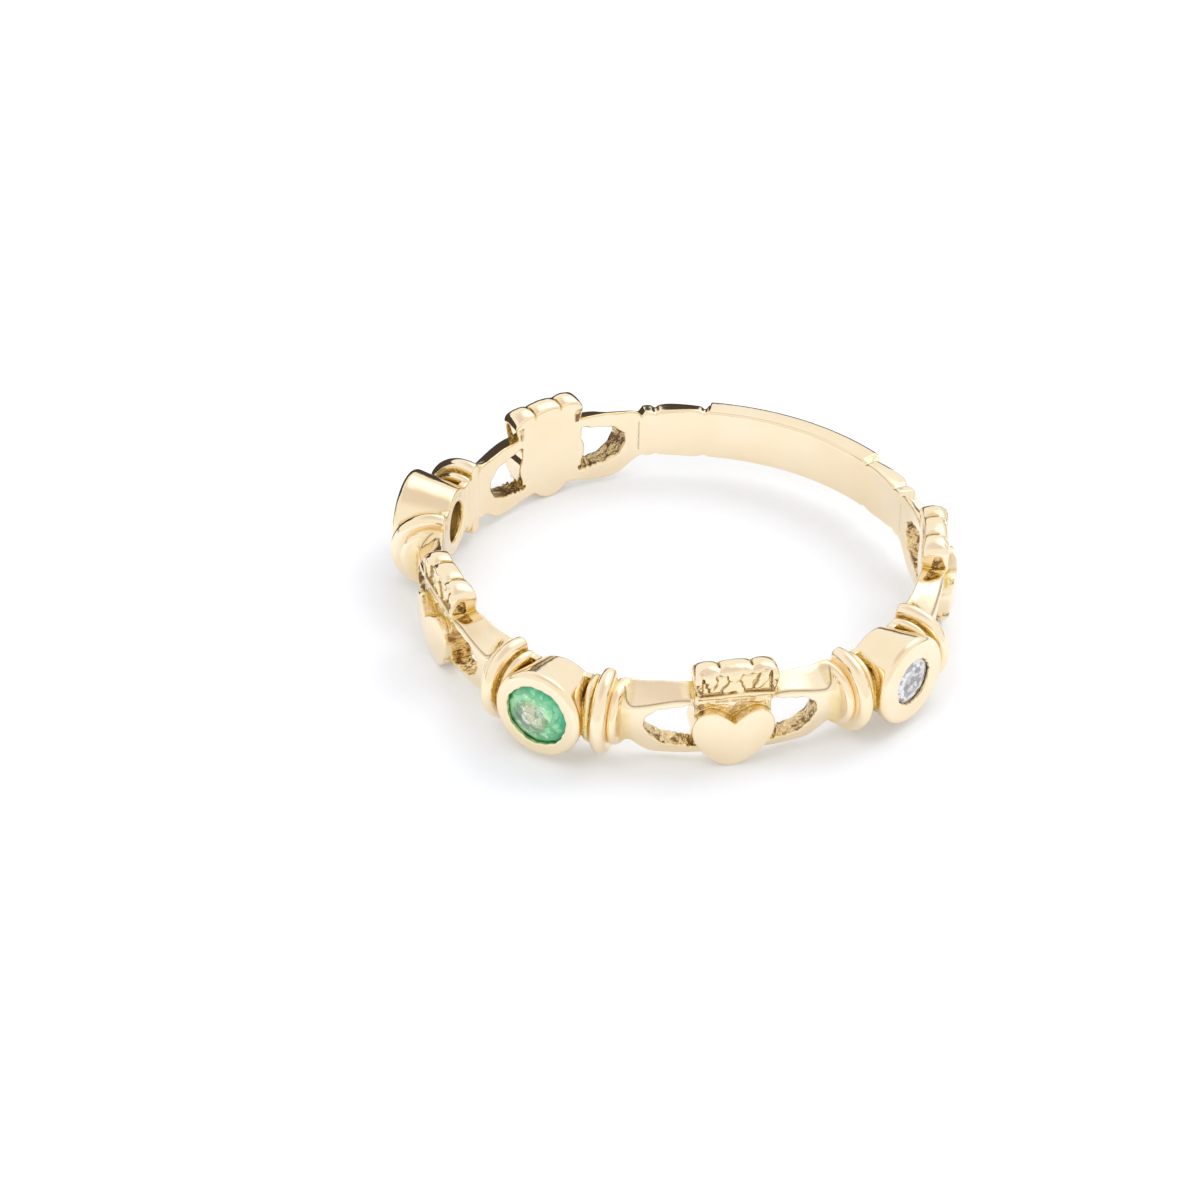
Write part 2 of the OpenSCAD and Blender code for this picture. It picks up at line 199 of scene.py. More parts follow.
@dataclass
class Outline:
    """A closed outline in a flat drawing, kept as a table of signed distances.

    Formula: the length to the nearest side, negative where a ray crosses the sides an odd number
    of times. The table is read between its entries in proportion.
    """

    points: np.ndarray
    low: tuple = (-4.6, -2.5)
    high: tuple = (4.6, 2.7)
    step: float = 0.02
    table: np.ndarray = field(init=False, repr=False)

    def __post_init__(self) -> None:
        """Fills the table, one side of the outline at a time over all entries at once."""
        y = np.arange(self.low[0], self.high[0] + self.step, self.step)
        z = np.arange(self.low[1], self.high[1] + self.step, self.step)
        py, pz = np.meshgrid(y, z, indexing="ij")
        best = np.full(py.shape, np.inf)
        inside = np.zeros(py.shape, bool)
        for (ay, az), (by, bz) in zip(self.points, np.roll(self.points, -1, 0)):
            ey, ez = by - ay, bz - az
            span = max(ey * ey + ez * ez, 1e-12)
            t = np.clip(((py - ay) * ey + (pz - az) * ez) / span, 0.0, 1.0)
            best = np.minimum(best, (py - ay - t * ey) ** 2 + (pz - az - t * ez) ** 2)
            if ez != 0.0:
                reach = (az > pz) != (bz > pz)
                inside ^= reach & (py < ay + (pz - az) * ey / ez)
        self.table = (np.sqrt(best) * np.where(inside, -1.0, 1.0)).astype(np.float32)

    def at(self, y: np.ndarray, z: np.ndarray) -> np.ndarray:
        """The signed distance at each point of the drawing.

        Args:
            y: Distances along the drawing.
            z: Distances up it.

        Returns:
            The distances, negative inside.
        """
        rows, columns = self.table.shape
        u = np.clip((y - self.low[0]) / self.step, 0.0, rows - 1.001)
        v = np.clip((z - self.low[1]) / self.step, 0.0, columns - 1.001)
        i, j = u.astype(np.int32), v.astype(np.int32)
        u, v = u - i, v - j
        flat = self.table.ravel()
        k = i * columns + j
        near = flat[k] * (1 - v) + flat[k + 1] * v
        far = flat[k + columns] * (1 - v) + flat[k + columns + 1] * v
        return near * (1 - u) + far * u


@dataclass
class Shell:
    """A closed mesh on its way to Blender: points in millimetres, quads, and named marks per point.

    The first quads, as many as flat says, are shaded flat; the others are smooth.
    """

    points: np.ndarray
    quads: np.ndarray
    marks: dict
    flat: int = 0

    def turned(self, degrees: float) -> "Shell":
        """The same shell carried round the finger axis."""
        return Shell(spun(self.points, degrees), self.quads, self.marks, self.flat)

    def make(self, name: str) -> bpy.types.Object:
        """Writes the shell to a new mesh object, with its place in its mesh.

        Args:
            name: The piece's name.

        Returns:
            The new object, linked to the scene.
        """
        mesh = bpy.data.meshes.new(name)
        count = len(self.quads)
        mesh.vertices.add(len(self.points))
        mesh.vertices.foreach_set("co", (self.points * MM).astype(np.float32).ravel())
        mesh.loops.add(4 * count)
        mesh.loops.foreach_set("vertex_index", self.quads.astype(np.int32).ravel())
        mesh.polygons.add(count)
        mesh.polygons.foreach_set("loop_start", np.arange(0, 4 * count, 4, dtype=np.int32))
        mesh.polygons.foreach_set("loop_total", np.full(count, 4, np.int32))
        mesh.update(calc_edges=True)
        mesh.polygons.foreach_set("use_smooth", np.arange(count) >= self.flat)
        for mark, values in self.marks.items():
            held = mesh.attributes.new(mark, "FLOAT", "POINT")
            held.data.foreach_set("value", values.astype(np.float32))
        return linked(name, mesh)


@dataclass(frozen=True)
class StoneCut:
    """How the stones are cut, in shares of half their width."""

    table: float = 0.60
    crown: float = 0.16
    girdle: float = 0.05
    back: float = 0.70


@dataclass(frozen=True)
class RingPlan:
    """Sizes that the whole ring shares, in millimetres."""

    bore_r: float = 8.65
    pitch: float = 6.28
    measure_depth: float = 0.6
    arm_depth: float = 0.96
    arm_edge: float = 0.74
    arm_fall: float = 0.26
    arm_top: float = 1.18
    hand_drop: float = 1.76
    shank_half: float = 1.03
    shank_edge: float = 0.78
    shank_crown: float = 0.3
    shoulder_len: float = 2.9
    front: float = 270.0
    cut: StoneCut = StoneCut()
    emerald_d: float = 2.46
    diamond_d: float = 1.9
    bezel_d: float = 3.46
    collar_w: float = 0.56
    collar_tuck: float = 0.14
    collar_fall: float = 0.1
    cuff_d: float = 2.3
    cuff_w: float = 0.26
    turned_gap: float = 0.04
    turn_depth: float = 0.46

    @property
    def collar_at(self) -> float:
        """The big collar's distance from the bezel's middle."""
        return self.bezel_d / 2 - self.collar_tuck + self.collar_w / 2

    @property
    def cuff_at(self) -> float:
        """The cuff's distance from the bezel's middle."""
        return self.collar_at + (self.collar_w + self.cuff_w) / 2 + self.turned_gap

    def turned_line(self, x: np.ndarray, side: np.ndarray, z: np.ndarray) -> tuple:
        """Reads points against the straight axis on which the members beside a bezel are turned.

        Args:
            x: Distances out from the finger axis, in the bezel's own frame.
            side: Distances along the band from the bezel's middle.
            z: Heights.

        Returns:
            The distances along that axis from the bezel's middle, and those off it.
        """
        turn_r = self.bore_r + self.turn_depth
        mid = (self.collar_at + self.cuff_at) / 2
        a = mid / turn_r
        out = x * math.cos(a) + side * math.sin(a) - turn_r
        along = side * math.cos(a) - x * math.sin(a) + mid
        return along, np.hypot(out, z + self.collar_fall)

    @staticmethod
    def bead(along: np.ndarray, off: np.ndarray, at: float, width: float, d: float) -> np.ndarray:
        """A round-edged disc across the turned axis: distances from a flat disc less half its width."""
        return np.hypot(np.maximum(off - (d - width) / 2, 0.0), along - at) - width / 2

    @property
    def line_r(self) -> float:
        """The radius along which lengths on the band are measured."""
        return self.bore_r + self.measure_depth

    @property
    def half_motif(self) -> float:
        """Half the length of a heart with its hands and arms."""
        return self.pitch - self.cuff_at - self.cuff_w / 2 - self.turned_gap

    @property
    def step_angle(self) -> float:
        """The angle from a bezel's middle to the next heart's middle, in degrees."""
        return math.degrees(self.pitch / self.line_r)

    def bearing(self, steps: int) -> float:
        """The bearing that lies so many steps from the front bezel, in degrees."""
        return self.front + steps * self.step_angle

    def angle_of(self, length: float) -> float:
        """The angle that a length along the band takes, in degrees."""
        return math.degrees(length / self.line_r)


@dataclass(frozen=True)
class Lattice:
    """A box of sample points that follows the band: round it, up it and out from the finger."""

    plan: RingPlan
    half_angle: float
    bottom: float
    top: float
    height: float
    spacing: float
    below: float = 0.08

    def axes(self) -> tuple:
        """The samples' angles, heights and distances over the finger hole.

        Returns:
            Three arrays: angles, heights and distances.
        """
        reach = math.radians(self.half_angle)
        turns = int(2 * reach * self.plan.line_r / self.spacing)
        angle = np.linspace(-reach, reach, turns)
        up = np.arange(self.bottom, self.top, self.spacing)
        out = np.arange(-self.below, self.height, self.spacing)
        return angle, up, out

    def place(self, angle: np.ndarray, up: np.ndarray, out: np.ndarray) -> np.ndarray:
        """Points in space: (r cos a, r sin a, z), where r is the hole's radius plus out."""
        r = self.plan.bore_r + out
        return np.stack([r * np.cos(angle), r * np.sin(angle), up + 0 * r], -1)


def crossing_cells(values: np.ndarray) -> tuple:
    """Finds the cells of a sampled field that its zero surface passes through.

    Each such cell gets one vertex, at the mean of the places where its twelve edges cross zero.

    Args:
        values: The field at the samples, three axes.

    Returns:
        The vertices in sample counts along the three axes, and each cell's vertex number or -1.
    """
    inside = values < 0
    n = np.array(values.shape) - 1
    corners = [(a, b, c) for a in (0, 1) for b in (0, 1) for c in (0, 1)]

    def shifted(block: np.ndarray, corner: tuple) -> np.ndarray:
        """The block as each cell sees it at one of its corners."""
        return block[tuple(slice(s, s + m) for s, m in zip(corner, n))]

    count = sum(shifted(inside, c).astype(np.uint8) for c in corners)
    active = (count > 0) & (count < 8)
    number = np.full(active.shape, -1, np.int32)
    cells = np.argwhere(active)
    number[active] = np.arange(len(cells))
    held = {c: shifted(values, c)[active] for c in corners}
    total = np.zeros((len(cells), 3))
    hits = np.zeros(len(cells))
    for first in corners:
        for axis in (k for k in range(3) if not first[k]):
            second = tuple(1 if k == axis else v for k, v in enumerate(first))
            a, b = held[first], held[second]
            crosses = (a < 0) != (b < 0)
            share = np.where(crosses, a / np.where(crosses, a - b, 1.0), 0.0)
            place = np.tile(np.array(first, float), (len(cells), 1))
            place[:, axis] += share
            total += place * crosses[:, None]
            hits += crosses
    return cells + total / hits[:, None], number


def crossing_quads(values: np.ndarray, number: np.ndarray) -> np.ndarray:
    """Joins the vertices of the four cells round each sample edge that crosses zero.

    Args:
        values: The field at the samples.
        number: Each cell's vertex number.

    Returns:
        The quads, all turned so that they face from inside to outside.
    """
    inside = values < 0
    quads = []
    for axis in range(3):
        b, c = (axis + 1) % 3, (axis + 2) % 3
        low = [slice(1, -1)] * 3
        high = [slice(1, -1)] * 3
        low[axis], high[axis] = slice(0, -1), slice(1, None)
        here, there = inside[tuple(low)], inside[tuple(high)]
        edges = np.argwhere(here != there)
        outward = here[here != there]
        cell = edges.copy()
        cell[:, b] += 1
        cell[:, c] += 1
        around = []
        for db, dc in ((-1, -1), (0, -1), (0, 0), (-1, 0)):
            k = cell.copy()
            k[:, b] += db
            k[:, c] += dc
            around.append(number[k[:, 0], k[:, 1], k[:, 2]])
        quad = np.stack(around, 1)
        quad[~outward] = quad[~outward][:, ::-1]
        quads.append(quad)
    return np.concatenate(quads)


@dataclass
class CastForm(ABC):
    """A cast gold form, given as a field over space in its own frame: X out, Y along, Z up."""

    plan: RingPlan
    spacing: float = 0.0362
    bore_round: float = 0.1
    longest_step: float = 0.6
    looks: tuple = (0.1, 0.25)

    @abstractmethod
    def field(self, p: np.ndarray) -> np.ndarray:
        """The form's field at points, negative inside."""

    @abstractmethod
    def lattice(self) -> Lattice:
        """The sample box that holds the form."""

    def slope(self, p: np.ndarray, reach: float = 0.004) -> np.ndarray:
        """The field's gradient at points, by differences over a short reach."""
        steps = np.eye(3) * reach
        return np.stack([self.field(p + s) - self.field(p - s) for s in steps], -1) / (2 * reach)

    def settled(self, p: np.ndarray, rounds: int = 3) -> np.ndarray:
        """Moves points onto the zero surface by Newton's rule, each step kept short.

        Args:
            p: Points near the surface.
            rounds: How often they are moved.

        Returns:
            The moved points.
        """
        for _ in range(rounds):
            g = self.slope(p)
            size = np.maximum((g * g).sum(-1), TINY)
            move = g * (self.field(p) / size)[:, None]
            long = np.maximum(np.linalg.norm(move, axis=1) / (self.longest_step * self.spacing), 1.0)
            p = p - move / long[:, None]
        return p

    def recessed(self, p: np.ndarray, normal: np.ndarray) -> np.ndarray:
        """How deep in a recess each surface point lies, from 0 to 1.

        Formula: 1 minus the field's value a little way out along the normal, as a share of that
        way, and the mean of it over the looks.
        """
        seen = [np.clip(1.0 - self.field(p + normal * d) / d, 0.0, 1.0) for d in self.looks]
        return sum(seen) / len(seen)

    def shade_lines(self, p: np.ndarray, normal: np.ndarray) -> np.ndarray:
        """Where thin lines of painted shade run, from 0 to 1; a form without any has none."""
        return np.zeros(len(p))

    def skinned(self, p: np.ndarray, normal: np.ndarray) -> np.ndarray:
        """Where the rough skin of the casting is left, from 0 to 1; a form without any has none."""
        return np.zeros(len(p))

    def shell(self) -> Shell:
        """Meshes the form where its field is zero.

        Returns:
            The mesh in the form's own frame, with the marks recess, painted shade lines and skin.
        """
        box = self.lattice()
        angle, up, out = box.axes()
        grid = box.place(*np.meshgrid(angle, up, out, indexing="ij")).astype(np.float32)
        values = self.field(grid)
        index, number = crossing_cells(values)
        quads = crossing_quads(values, number)
        axes = enumerate((angle, up, out))
        whole = [np.interp(index[:, k], np.arange(len(axis)), axis) for k, axis in axes]
        points = self.settled(box.place(*whole))
        g = self.slope(points)
        normal = g / np.maximum(np.linalg.norm(g, axis=1), TINY)[:, None]
        marks = {
            "recess": self.recessed(points, normal),
            # Lines that the finish darkens as painted shade.
            "line_shade": self.shade_lines(points, normal),
            "skin": self.skinned(points, normal),
        }
        return Shell(points, quads, marks)


@dataclass
class Motif(CastForm):
    """A heart held by two hands, with a crown on it and an opening at each side."""

    heart_w: float = 2.9
    heart_h: float = 2.52
    heart_drop: float = 1.95
    heart_proud: float = 0.34
    crown_w: float = 3.04
    crown_top: float = 2.1
    crown_depth: float = 0.86
    crown_shift: float = 0.12
    relief: float = 0.11
    crown_round: float = 0.14
    crown_lean: float = 0.1
    groove_depth: float = 0.05
    groove_w: float = 0.045
    rim_at: float = 1.2
    foot_at: float = 1.12
    top_at: float = 1.87
    parting_at: float = 0.57
    pocket: float = 0.3
    pocket_h: float = 0.6
    pocket_back: float = 0.24
    pocket_front: float = 0.1
    sleeve_top: float = 0.86
    sleeve_fall: float = 0.38
    sleeve_from: float = 1.7
    sleeve_groove: float = 0.035
    arm_round: float = 0.2
    outline_round: float = 0.16
    opening_round: float = 0.07
    cuff_fillet: float = 0.42
    rib_depth: float = 0.03
    rib_pitch: float = 0.21
    rib_at: float = 1.44
    ground_share: float = 0.80
    core_half: float = 0.44
    ground_half: float = 0.43
    small_fillet: float = 0.05
    cuffs: tuple = (True, True)

    hands: Outline = field(init=False, repr=False)
    opening: Outline = field(init=False, repr=False)
    heart: Outline = field(init=False, repr=False)
    crown: Outline = field(init=False, repr=False)
    leaf_left: Outline = field(init=False, repr=False)
    leaf_right: Outline = field(init=False, repr=False)
    stem: Outline = field(init=False, repr=False)
    root: Outline = field(init=False, repr=False)

    # Along the band, as a share of half the motif; up, as a share of the arm's top or the hand's drop
    hand_rows: ClassVar[tuple] = (
        (0.00, -0.85), (0.30, -0.90), (0.45, -0.99), (0.60, -1.02),
        (0.73, -0.92), (0.84, -0.72), (0.93, -0.55), (1.04, -0.50),
    )
    arm_rows: ClassVar[tuple] = (
        (1.04, 0.62), (0.96, 0.70), (0.92, 0.86), (0.86, 0.95), (0.78, 0.95), (0.70, 0.98), (0.60, 1.08),
    )
    opening_rows: ClassVar[tuple] = (
        (0.33, 0.56), (0.50, 0.52), (0.68, 0.38), (0.79, 0.10), (0.798, -0.14),
        (0.73, -0.38), (0.60, -0.55), (0.46, -0.59), (0.33, -0.60), (0.29, 0.00),
    )
    # Along the band, as a share of half the heart; down from its lobes, as a share of its height
    heart_rows: ClassVar[tuple] = (
        (0.00, 0.175), (0.17, 0.095), (0.38, 0.02), (0.60, 0.00), (0.85, 0.07), (1.00, 0.265),
        (0.95, 0.48), (0.73, 0.70), (0.43, 0.88), (0.19, 0.975), (0.00, 1.00),
    )
    # Along the band, as a share of half the crown; up from the arms, as a share of its height
    crown_rows: ClassVar[tuple] = (
        (0.90, -0.30), (0.94, 0.05), (0.98, 0.35), (0.99, 0.58), (0.94, 0.80), (0.82, 0.94),
        (0.64, 1.00), (0.46, 0.99), (0.38, 0.96), (0.30, 0.99), (0.00, 1.02),
    )
    # The crown's figures: along the band and up, in millimetres
    leaf_left_rows: ClassVar[tuple] = (
        (-1.10, 2.02), (-0.68, 2.04), (-0.60, 1.70), (-0.64, 1.34), (-0.80, 1.22), (-0.96, 1.52),
        (-1.14, 1.86),
    )
    leaf_right_rows: ClassVar[tuple] = (
        (0.74, 1.30), (1.00, 1.26), (1.14, 1.50), (1.30, 1.78), (1.30, 2.02), (1.06, 2.04),
        (0.92, 1.86), (0.80, 1.60),
    )
    stem_rows: ClassVar[tuple] = (
        (-0.46, 2.40), (-0.20, 1.78), (-0.15, 1.60), (0.24, 1.60), (0.28, 1.78), (0.50, 2.40),
    )
    root_rows: ClassVar[tuple] = ((-0.16, 1.66), (-0.40, 1.14), (0.44, 1.10), (0.26, 1.66))

    def __post_init__(self) -> None:
        """Draws the outlines from their tables."""
        plan = self.plan

        def along(rows: tuple) -> list:
            """Rows of shares as lengths along and up."""
            return [
                (y * plan.half_motif, z * (plan.hand_drop if z < 0 else plan.arm_top)) for y, z in rows
            ]

        half = np.concatenate([smooth_line(along(rows), 3) for rows in (self.hand_rows, self.arm_rows)])
        self.hands = Outline(np.concatenate([half, mirrored(half)]))
        self.opening = Outline(smooth_line(along(self.opening_rows), 4, closed=True))
        lobes = self.heart_h - self.heart_drop
        half = [(y * self.heart_w / 2, lobes - z * self.heart_h) for y, z in self.heart_rows]
        half = smooth_line(half, 5)
        self.heart = Outline(np.concatenate([half[::-1], mirrored(half)[::-1][1:-1]]))
        rise = self.crown_top - plan.arm_top
        half = [(y * self.crown_w / 2, plan.arm_top + z * rise) for y, z in self.crown_rows]
        half = smooth_line(half, 4)
        self.crown = Outline(np.concatenate([half, mirrored(half[:-1])]))
        self.leaf_left = Outline(smooth_line(self.leaf_left_rows, 4, closed=True))
        self.leaf_right = Outline(smooth_line(self.leaf_right_rows, 4, closed=True))
        self.stem = Outline(np.array(self.stem_rows))
        self.root = Outline(np.array(self.root_rows))

    def lattice(self) -> Lattice:
        """The sample box round heart, hands, arms and crown."""
        return Lattice(self.plan, 27.0, -2.04, 2.22, 1.68, self.spacing)

    def sleeve(self, side: np.ndarray, z: np.ndarray) -> np.ndarray:
        """The sleeve along an arm's top, as a flat outline: over a falling line, round at the wrist.

        Args:
            side: Distances along the band from the middle, at both sides alike.
            z: Heights.

        Returns:
            The field of the flat outline, negative on the sleeve.
        """
        half = self.plan.half_motif
        line = self.sleeve_top - self.sleeve_fall * ease(side, self.sleeve_from, half - 0.1)
        return round_max(line - z, side - half + 0.2, 0.25)

    def arm_section(self, r: np.ndarray, side: np.ndarray, z: np.ndarray, edge: float) -> np.ndarray:
        """The section that arms and hands are carved to: round outside, falling at both edges.

        Formula: what a wide circle in the plane of r and z shares with two sloping half planes; a
        groove runs along the sleeve's edge, and past it the face lies a little deeper.

        Args:
            r: Distances from the finger axis.
            side: Distances along the band from the heart's middle, at both sides alike.
            z: Heights.
            edge: Rounding of the lower edge; the upper one has a little under half of it.

        Returns:
            The section's field.
        """
        plan = self.plan
        half = 1.1 * plan.hand_drop
        crown = (plan.arm_depth - plan.arm_edge) * (half / plan.arm_top) ** 2
        arc_r = (half * half + crown * crown) / (2 * crown)
        outer = np.hypot(r - (plan.bore_r + plan.arm_depth - arc_r), z) - arc_r
        sleeve = self.sleeve(side, z)
        outer = outer + 0.02 * ease(sleeve, -0.02, 0.04) + self.sleeve_groove * hump(sleeve, 0.04)
        fall = plan.arm_fall / plan.arm_edge
        slope = fall * (1 + 1.2 * ease(side, self.sleeve_from, plan.half_motif - 0.2))
        depth = r - plan.bore_r
        top = (z - plan.arm_top + slope * depth) / np.hypot(1, slope)
        slope = 0.8 * plan.arm_fall / plan.arm_edge
        low = (-z - plan.hand_drop + slope * depth) / math.hypot(1, slope)
        return smooth_max(round_max(outer, top, 0.45 * edge), low, edge)

    def arms(self, x: np.ndarray, y: np.ndarray, z: np.ndarray) -> np.ndarray:
        """Arms and hands with the two openings cut through, and fingers' grooves beside the heart.

        Formula: the hands' outline and the arms' section share their common part; the openings'
        outline is widened by a cosine across the fingers and by low slow waves of the casting.

        Args:
            x: Distances out from the finger axis, in the form's own frame.
            y: Distances along the band.
            z: Heights.

        Returns:
            The field of arms and hands.
        """
        side = np.abs(y)
        turn = (side - self.rib_at + 0.06 * np.sin(9.0 * x)) * (2 * math.pi / self.rib_pitch)
        ribs = self.rib_depth * np.cos(turn) * ease(-z, 0.35, 0.7) * (1 - ease(side, 1.75, 2.1))
        lumps = 0.018 * np.sin(13.0 * side + 7.0 * x + 2.0 * z)
        lumps = lumps + 0.014 * np.sin(21.0 * x - 15.0 * z + 8.0 * side)
        section = self.arm_section(np.hypot(x, y), side, z, self.arm_round)
        solid = smooth_max(self.hands.at(y, z), section, self.outline_round)
        solid = smooth_max(solid, -(self.opening.at(side, z) + ribs + lumps), self.opening_round)
        for wanted, way in zip(self.cuffs, (-1, 1)):
            if wanted:
                solid = smooth_min(solid, self.cuff(x, way * y, z), self.cuff_fillet)
        return solid

    def cuff(self, x: np.ndarray, side: np.ndarray, z: np.ndarray) -> np.ndarray:
        """The small cuff at one wrist, turned on the axis of the members beside the next bezel.

        Args:
            x: Distances out from the finger axis, in the form's own frame.
            side: Distances along the band, towards the wrist that is meant.
            z: Heights.

        Returns:
            The cuff's field.
        """
        plan = self.plan
        a = math.radians(plan.step_angle)
        across, along = x * math.cos(a) + side * math.sin(a), x * math.sin(a) - side * math.cos(a)
        line, off = plan.turned_line(across, along, z)
        return plan.bead(line, off, plan.cuff_at - plan.turned_gap / 2, plan.cuff_w + 0.1, plan.cuff_d)

    def crown_front(self, y: np.ndarray, z: np.ndarray) -> np.ndarray:
        """Height of the crown's front over the finger hole: cast figures on a lower ground.

        Formula: each figure lifts the ground by an eased step across its outline, and the higher
        of all lifts holds. Leaves swell towards their middle, a fine groove follows all figures'
        outline, and the front leans back at the top.

        Args:
            y: Distances along the band.
            z: Heights.

        Returns:
            The heights.
        """
        ground = self.crown_depth - self.relief
        nearest = np.full(np.shape(y), np.inf)
        height = np.full(np.shape(y), ground)
        for distance, share, swell in self.figures(y, z):
            lift = share * self.relief * ease(-distance, -0.04, 0.03) + swell * ease(-distance, 0.0, 0.2)
            height = np.maximum(height, ground + lift)
            nearest = np.minimum(nearest, distance)
        groove = self.groove_depth * hump(nearest, self.groove_w)
        return height - groove - self.crown_lean * ease(z, 1.7, 2.2)

    def figures(self, y: np.ndarray, z: np.ndarray) -> list:
        """The figures on the crown's front: rims, foot, top edge, two leaves, stem and root.

        Args:
            y: Distances along the band.
            z: Heights.

        Returns:
            For each figure its signed distance, its lift as a share of the relief, and its swell.
        """
        wiggle = 0.03 * np.sin(11.0 * y + 7.0 * z) + 0.018 * np.sin(23.0 * z - 17.0 * y)
        rim = self.rim_at - np.abs(y - self.crown_shift)
        foot = z - self.foot_at - 0.03 * np.sin(2.6 * y + 0.6)
        top = self.top_at + 0.05 * np.sin(6.0 * y + 1.0) + wiggle - z
        return [
            (rim, 1.0, 0.0),
            (foot, 1.1, 0.0),
            (top, 0.9, 0.0),
            (self.leaf_left.at(y, z) + wiggle, 0.9, 0.05),
            (self.leaf_right.at(y, z) + wiggle, 0.9, 0.05),
            (self.stem.at(y, z) + wiggle, 0.85, 0.03),
            (self.root.at(y, z) + wiggle, 0.6, 0.02),
        ]

    def crown_body(self, x: np.ndarray, y: np.ndarray, z: np.ndarray) -> np.ndarray:
        """The crown: three swelling lobes parted by notches, a worked front and a pocket in each end.

        Formula: the crown's outline, drawn up between its faces and at the partings, less two
        narrow wedges, up to the front's height; each pocket is a box that narrows upwards.

        Args:
            x: Distances out from the finger axis, in the form's own frame.
            y: Distances along the band.
            z: Heights.

        Returns:
            The crown's field.
        """
        bore_r = self.plan.bore_r
        mid = y - self.crown_shift
        across = (x - bore_r) / (self.crown_depth / 2) - 1.0
        parting = np.abs(np.abs(mid) - self.parting_at)
        swell = 0.09 * across * across * ease(z, 1.3, 1.9) + 0.035 * hump(parting, 0.16)
        outline = self.crown.at(mid, z + swell)
        notch = parting - 0.2 * (z - 1.9) + 0.06 * ease(x - bore_r, 0.4, 0.6)
        outline = smooth_max(outline, -notch, self.small_fillet)
        front = (x - bore_r - self.crown_front(y, z)) * 0.6
        body = round_max(outline, front, self.crown_round)
        low = self.plan.arm_top - 0.5 * self.plan.arm_fall
        rise = (z - low) / self.pocket_h
        inner = bore_r + self.pocket_back + 0.1 * rise - x
        outer = x - (bore_r + self.crown_depth - 0.2 * rise - self.pocket_front)
        wall = np.maximum(np.maximum(inner, outer), self.crown_w / 2 - self.pocket - np.abs(mid))
        pocket = smooth_max(np.maximum(low - z, z - low - self.pocket_h), wall, 0.12)
        return smooth_max(body, -pocket, self.small_fillet)

    def bar_edge(self, y: np.ndarray) -> np.ndarray:
        """Height of the uneven lower edge of the bar under the crown.

        Args:
            y: Distances along the band.

        Returns:
            The heights.
        """
        point = 0.12 * np.maximum(1.0 - np.abs(y) / 0.22, 0.0)
        waves = 0.61 * self.plan.arm_top + 0.035 * np.sin(5.2 * y + 0.4) + 0.02 * np.sin(12.0 * y)
        return waves - point

    def shade_lines(self, p: np.ndarray, normal: np.ndarray) -> np.ndarray:
        """Painted shade lines round the crown's figures, in its partings and along the sleeves' edges.

        Formula: for each line, e to the power of minus the squared distance over its width.

        Args:
            p: Points in the form's own frame.
            normal: The surface's normals there.

        Returns:
            Values from 0 to 1.
        """
        x, y, z = p[:, 0], p[:, 1], p[:, 2]
        depth, mid, side = x - self.plan.bore_r, y - self.crown_shift, np.abs(y)
        facing = ease(normal[:, 0], 0.2, 0.5)
        nearest = np.min([distance for distance, _, _ in self.figures(y, z)], axis=0)
        on_crown = (z > 1.06) & (z < 2.0) & (np.abs(mid) < 1.36)
        lines = 0.85 * hump(nearest, 0.03) * ease(normal[:, 0], 0.05, 0.3) * on_crown
        parting = hump(np.abs(mid) - self.parting_at, 0.025) * (z > 1.9) * (depth < 0.5)
        sleeve = hump(self.sleeve(side, z), 0.03) * facing * (side > 1.45) * (z < 1.12)
        return np.maximum(np.maximum(lines, parting), 0.9 * sleeve)

    def recessed(self, p: np.ndarray, normal: np.ndarray) -> np.ndarray:
        """The recess value, weaker on the crown's low relief and over the heart."""
        shallow = ease(p[:, 2], 0.2, 0.4) * ease(normal[:, 0], 0.3, 0.6) * (np.abs(p[:, 1]) < 1.5)
        return super().recessed(p, normal) * (1.0 - 0.55 * shallow)

    def skinned(self, p: np.ndarray, normal: np.ndarray) -> np.ndarray:
        """Rough skin on the openings' walls, on the ground over the heart and in the crown's pockets.

        Formula: each place is picked by its distance from an outline or a depth, eased at its edge.

        Args:
            p: Points in the form's own frame.
            normal: The surface's normals there.

        Returns:
            Values from 0 to 1.
        """
        x, y, z = p[:, 0], p[:, 1], p[:, 2]
        r = np.hypot(x, y)
        level = 1.0 - ease(np.abs((normal[:, 0] * x + normal[:, 1] * y) / r), 0.5, 0.9)
        walls = (1.0 - ease(np.abs(self.opening.at(np.abs(y), z)), 0.08, 0.16)) * level
        depth = self.ground_share * self.plan.arm_depth
        ground = 0.5 * (1.0 - ease(np.abs(x - self.plan.bore_r - depth), 0.04, 0.12))
        ground = ground * (z > 0.05) * (z < 0.85) * (self.heart.at(y, z) > 0.01) * (np.abs(y) < 1.4)
        mid = y - self.crown_shift
        ends = ease(np.abs(mid), 1.1, 1.2) * (z > 1.06) * (z < 1.62) * (self.crown.at(mid, z) < -0.08)
        return np.maximum(np.maximum(walls, ground), ends)

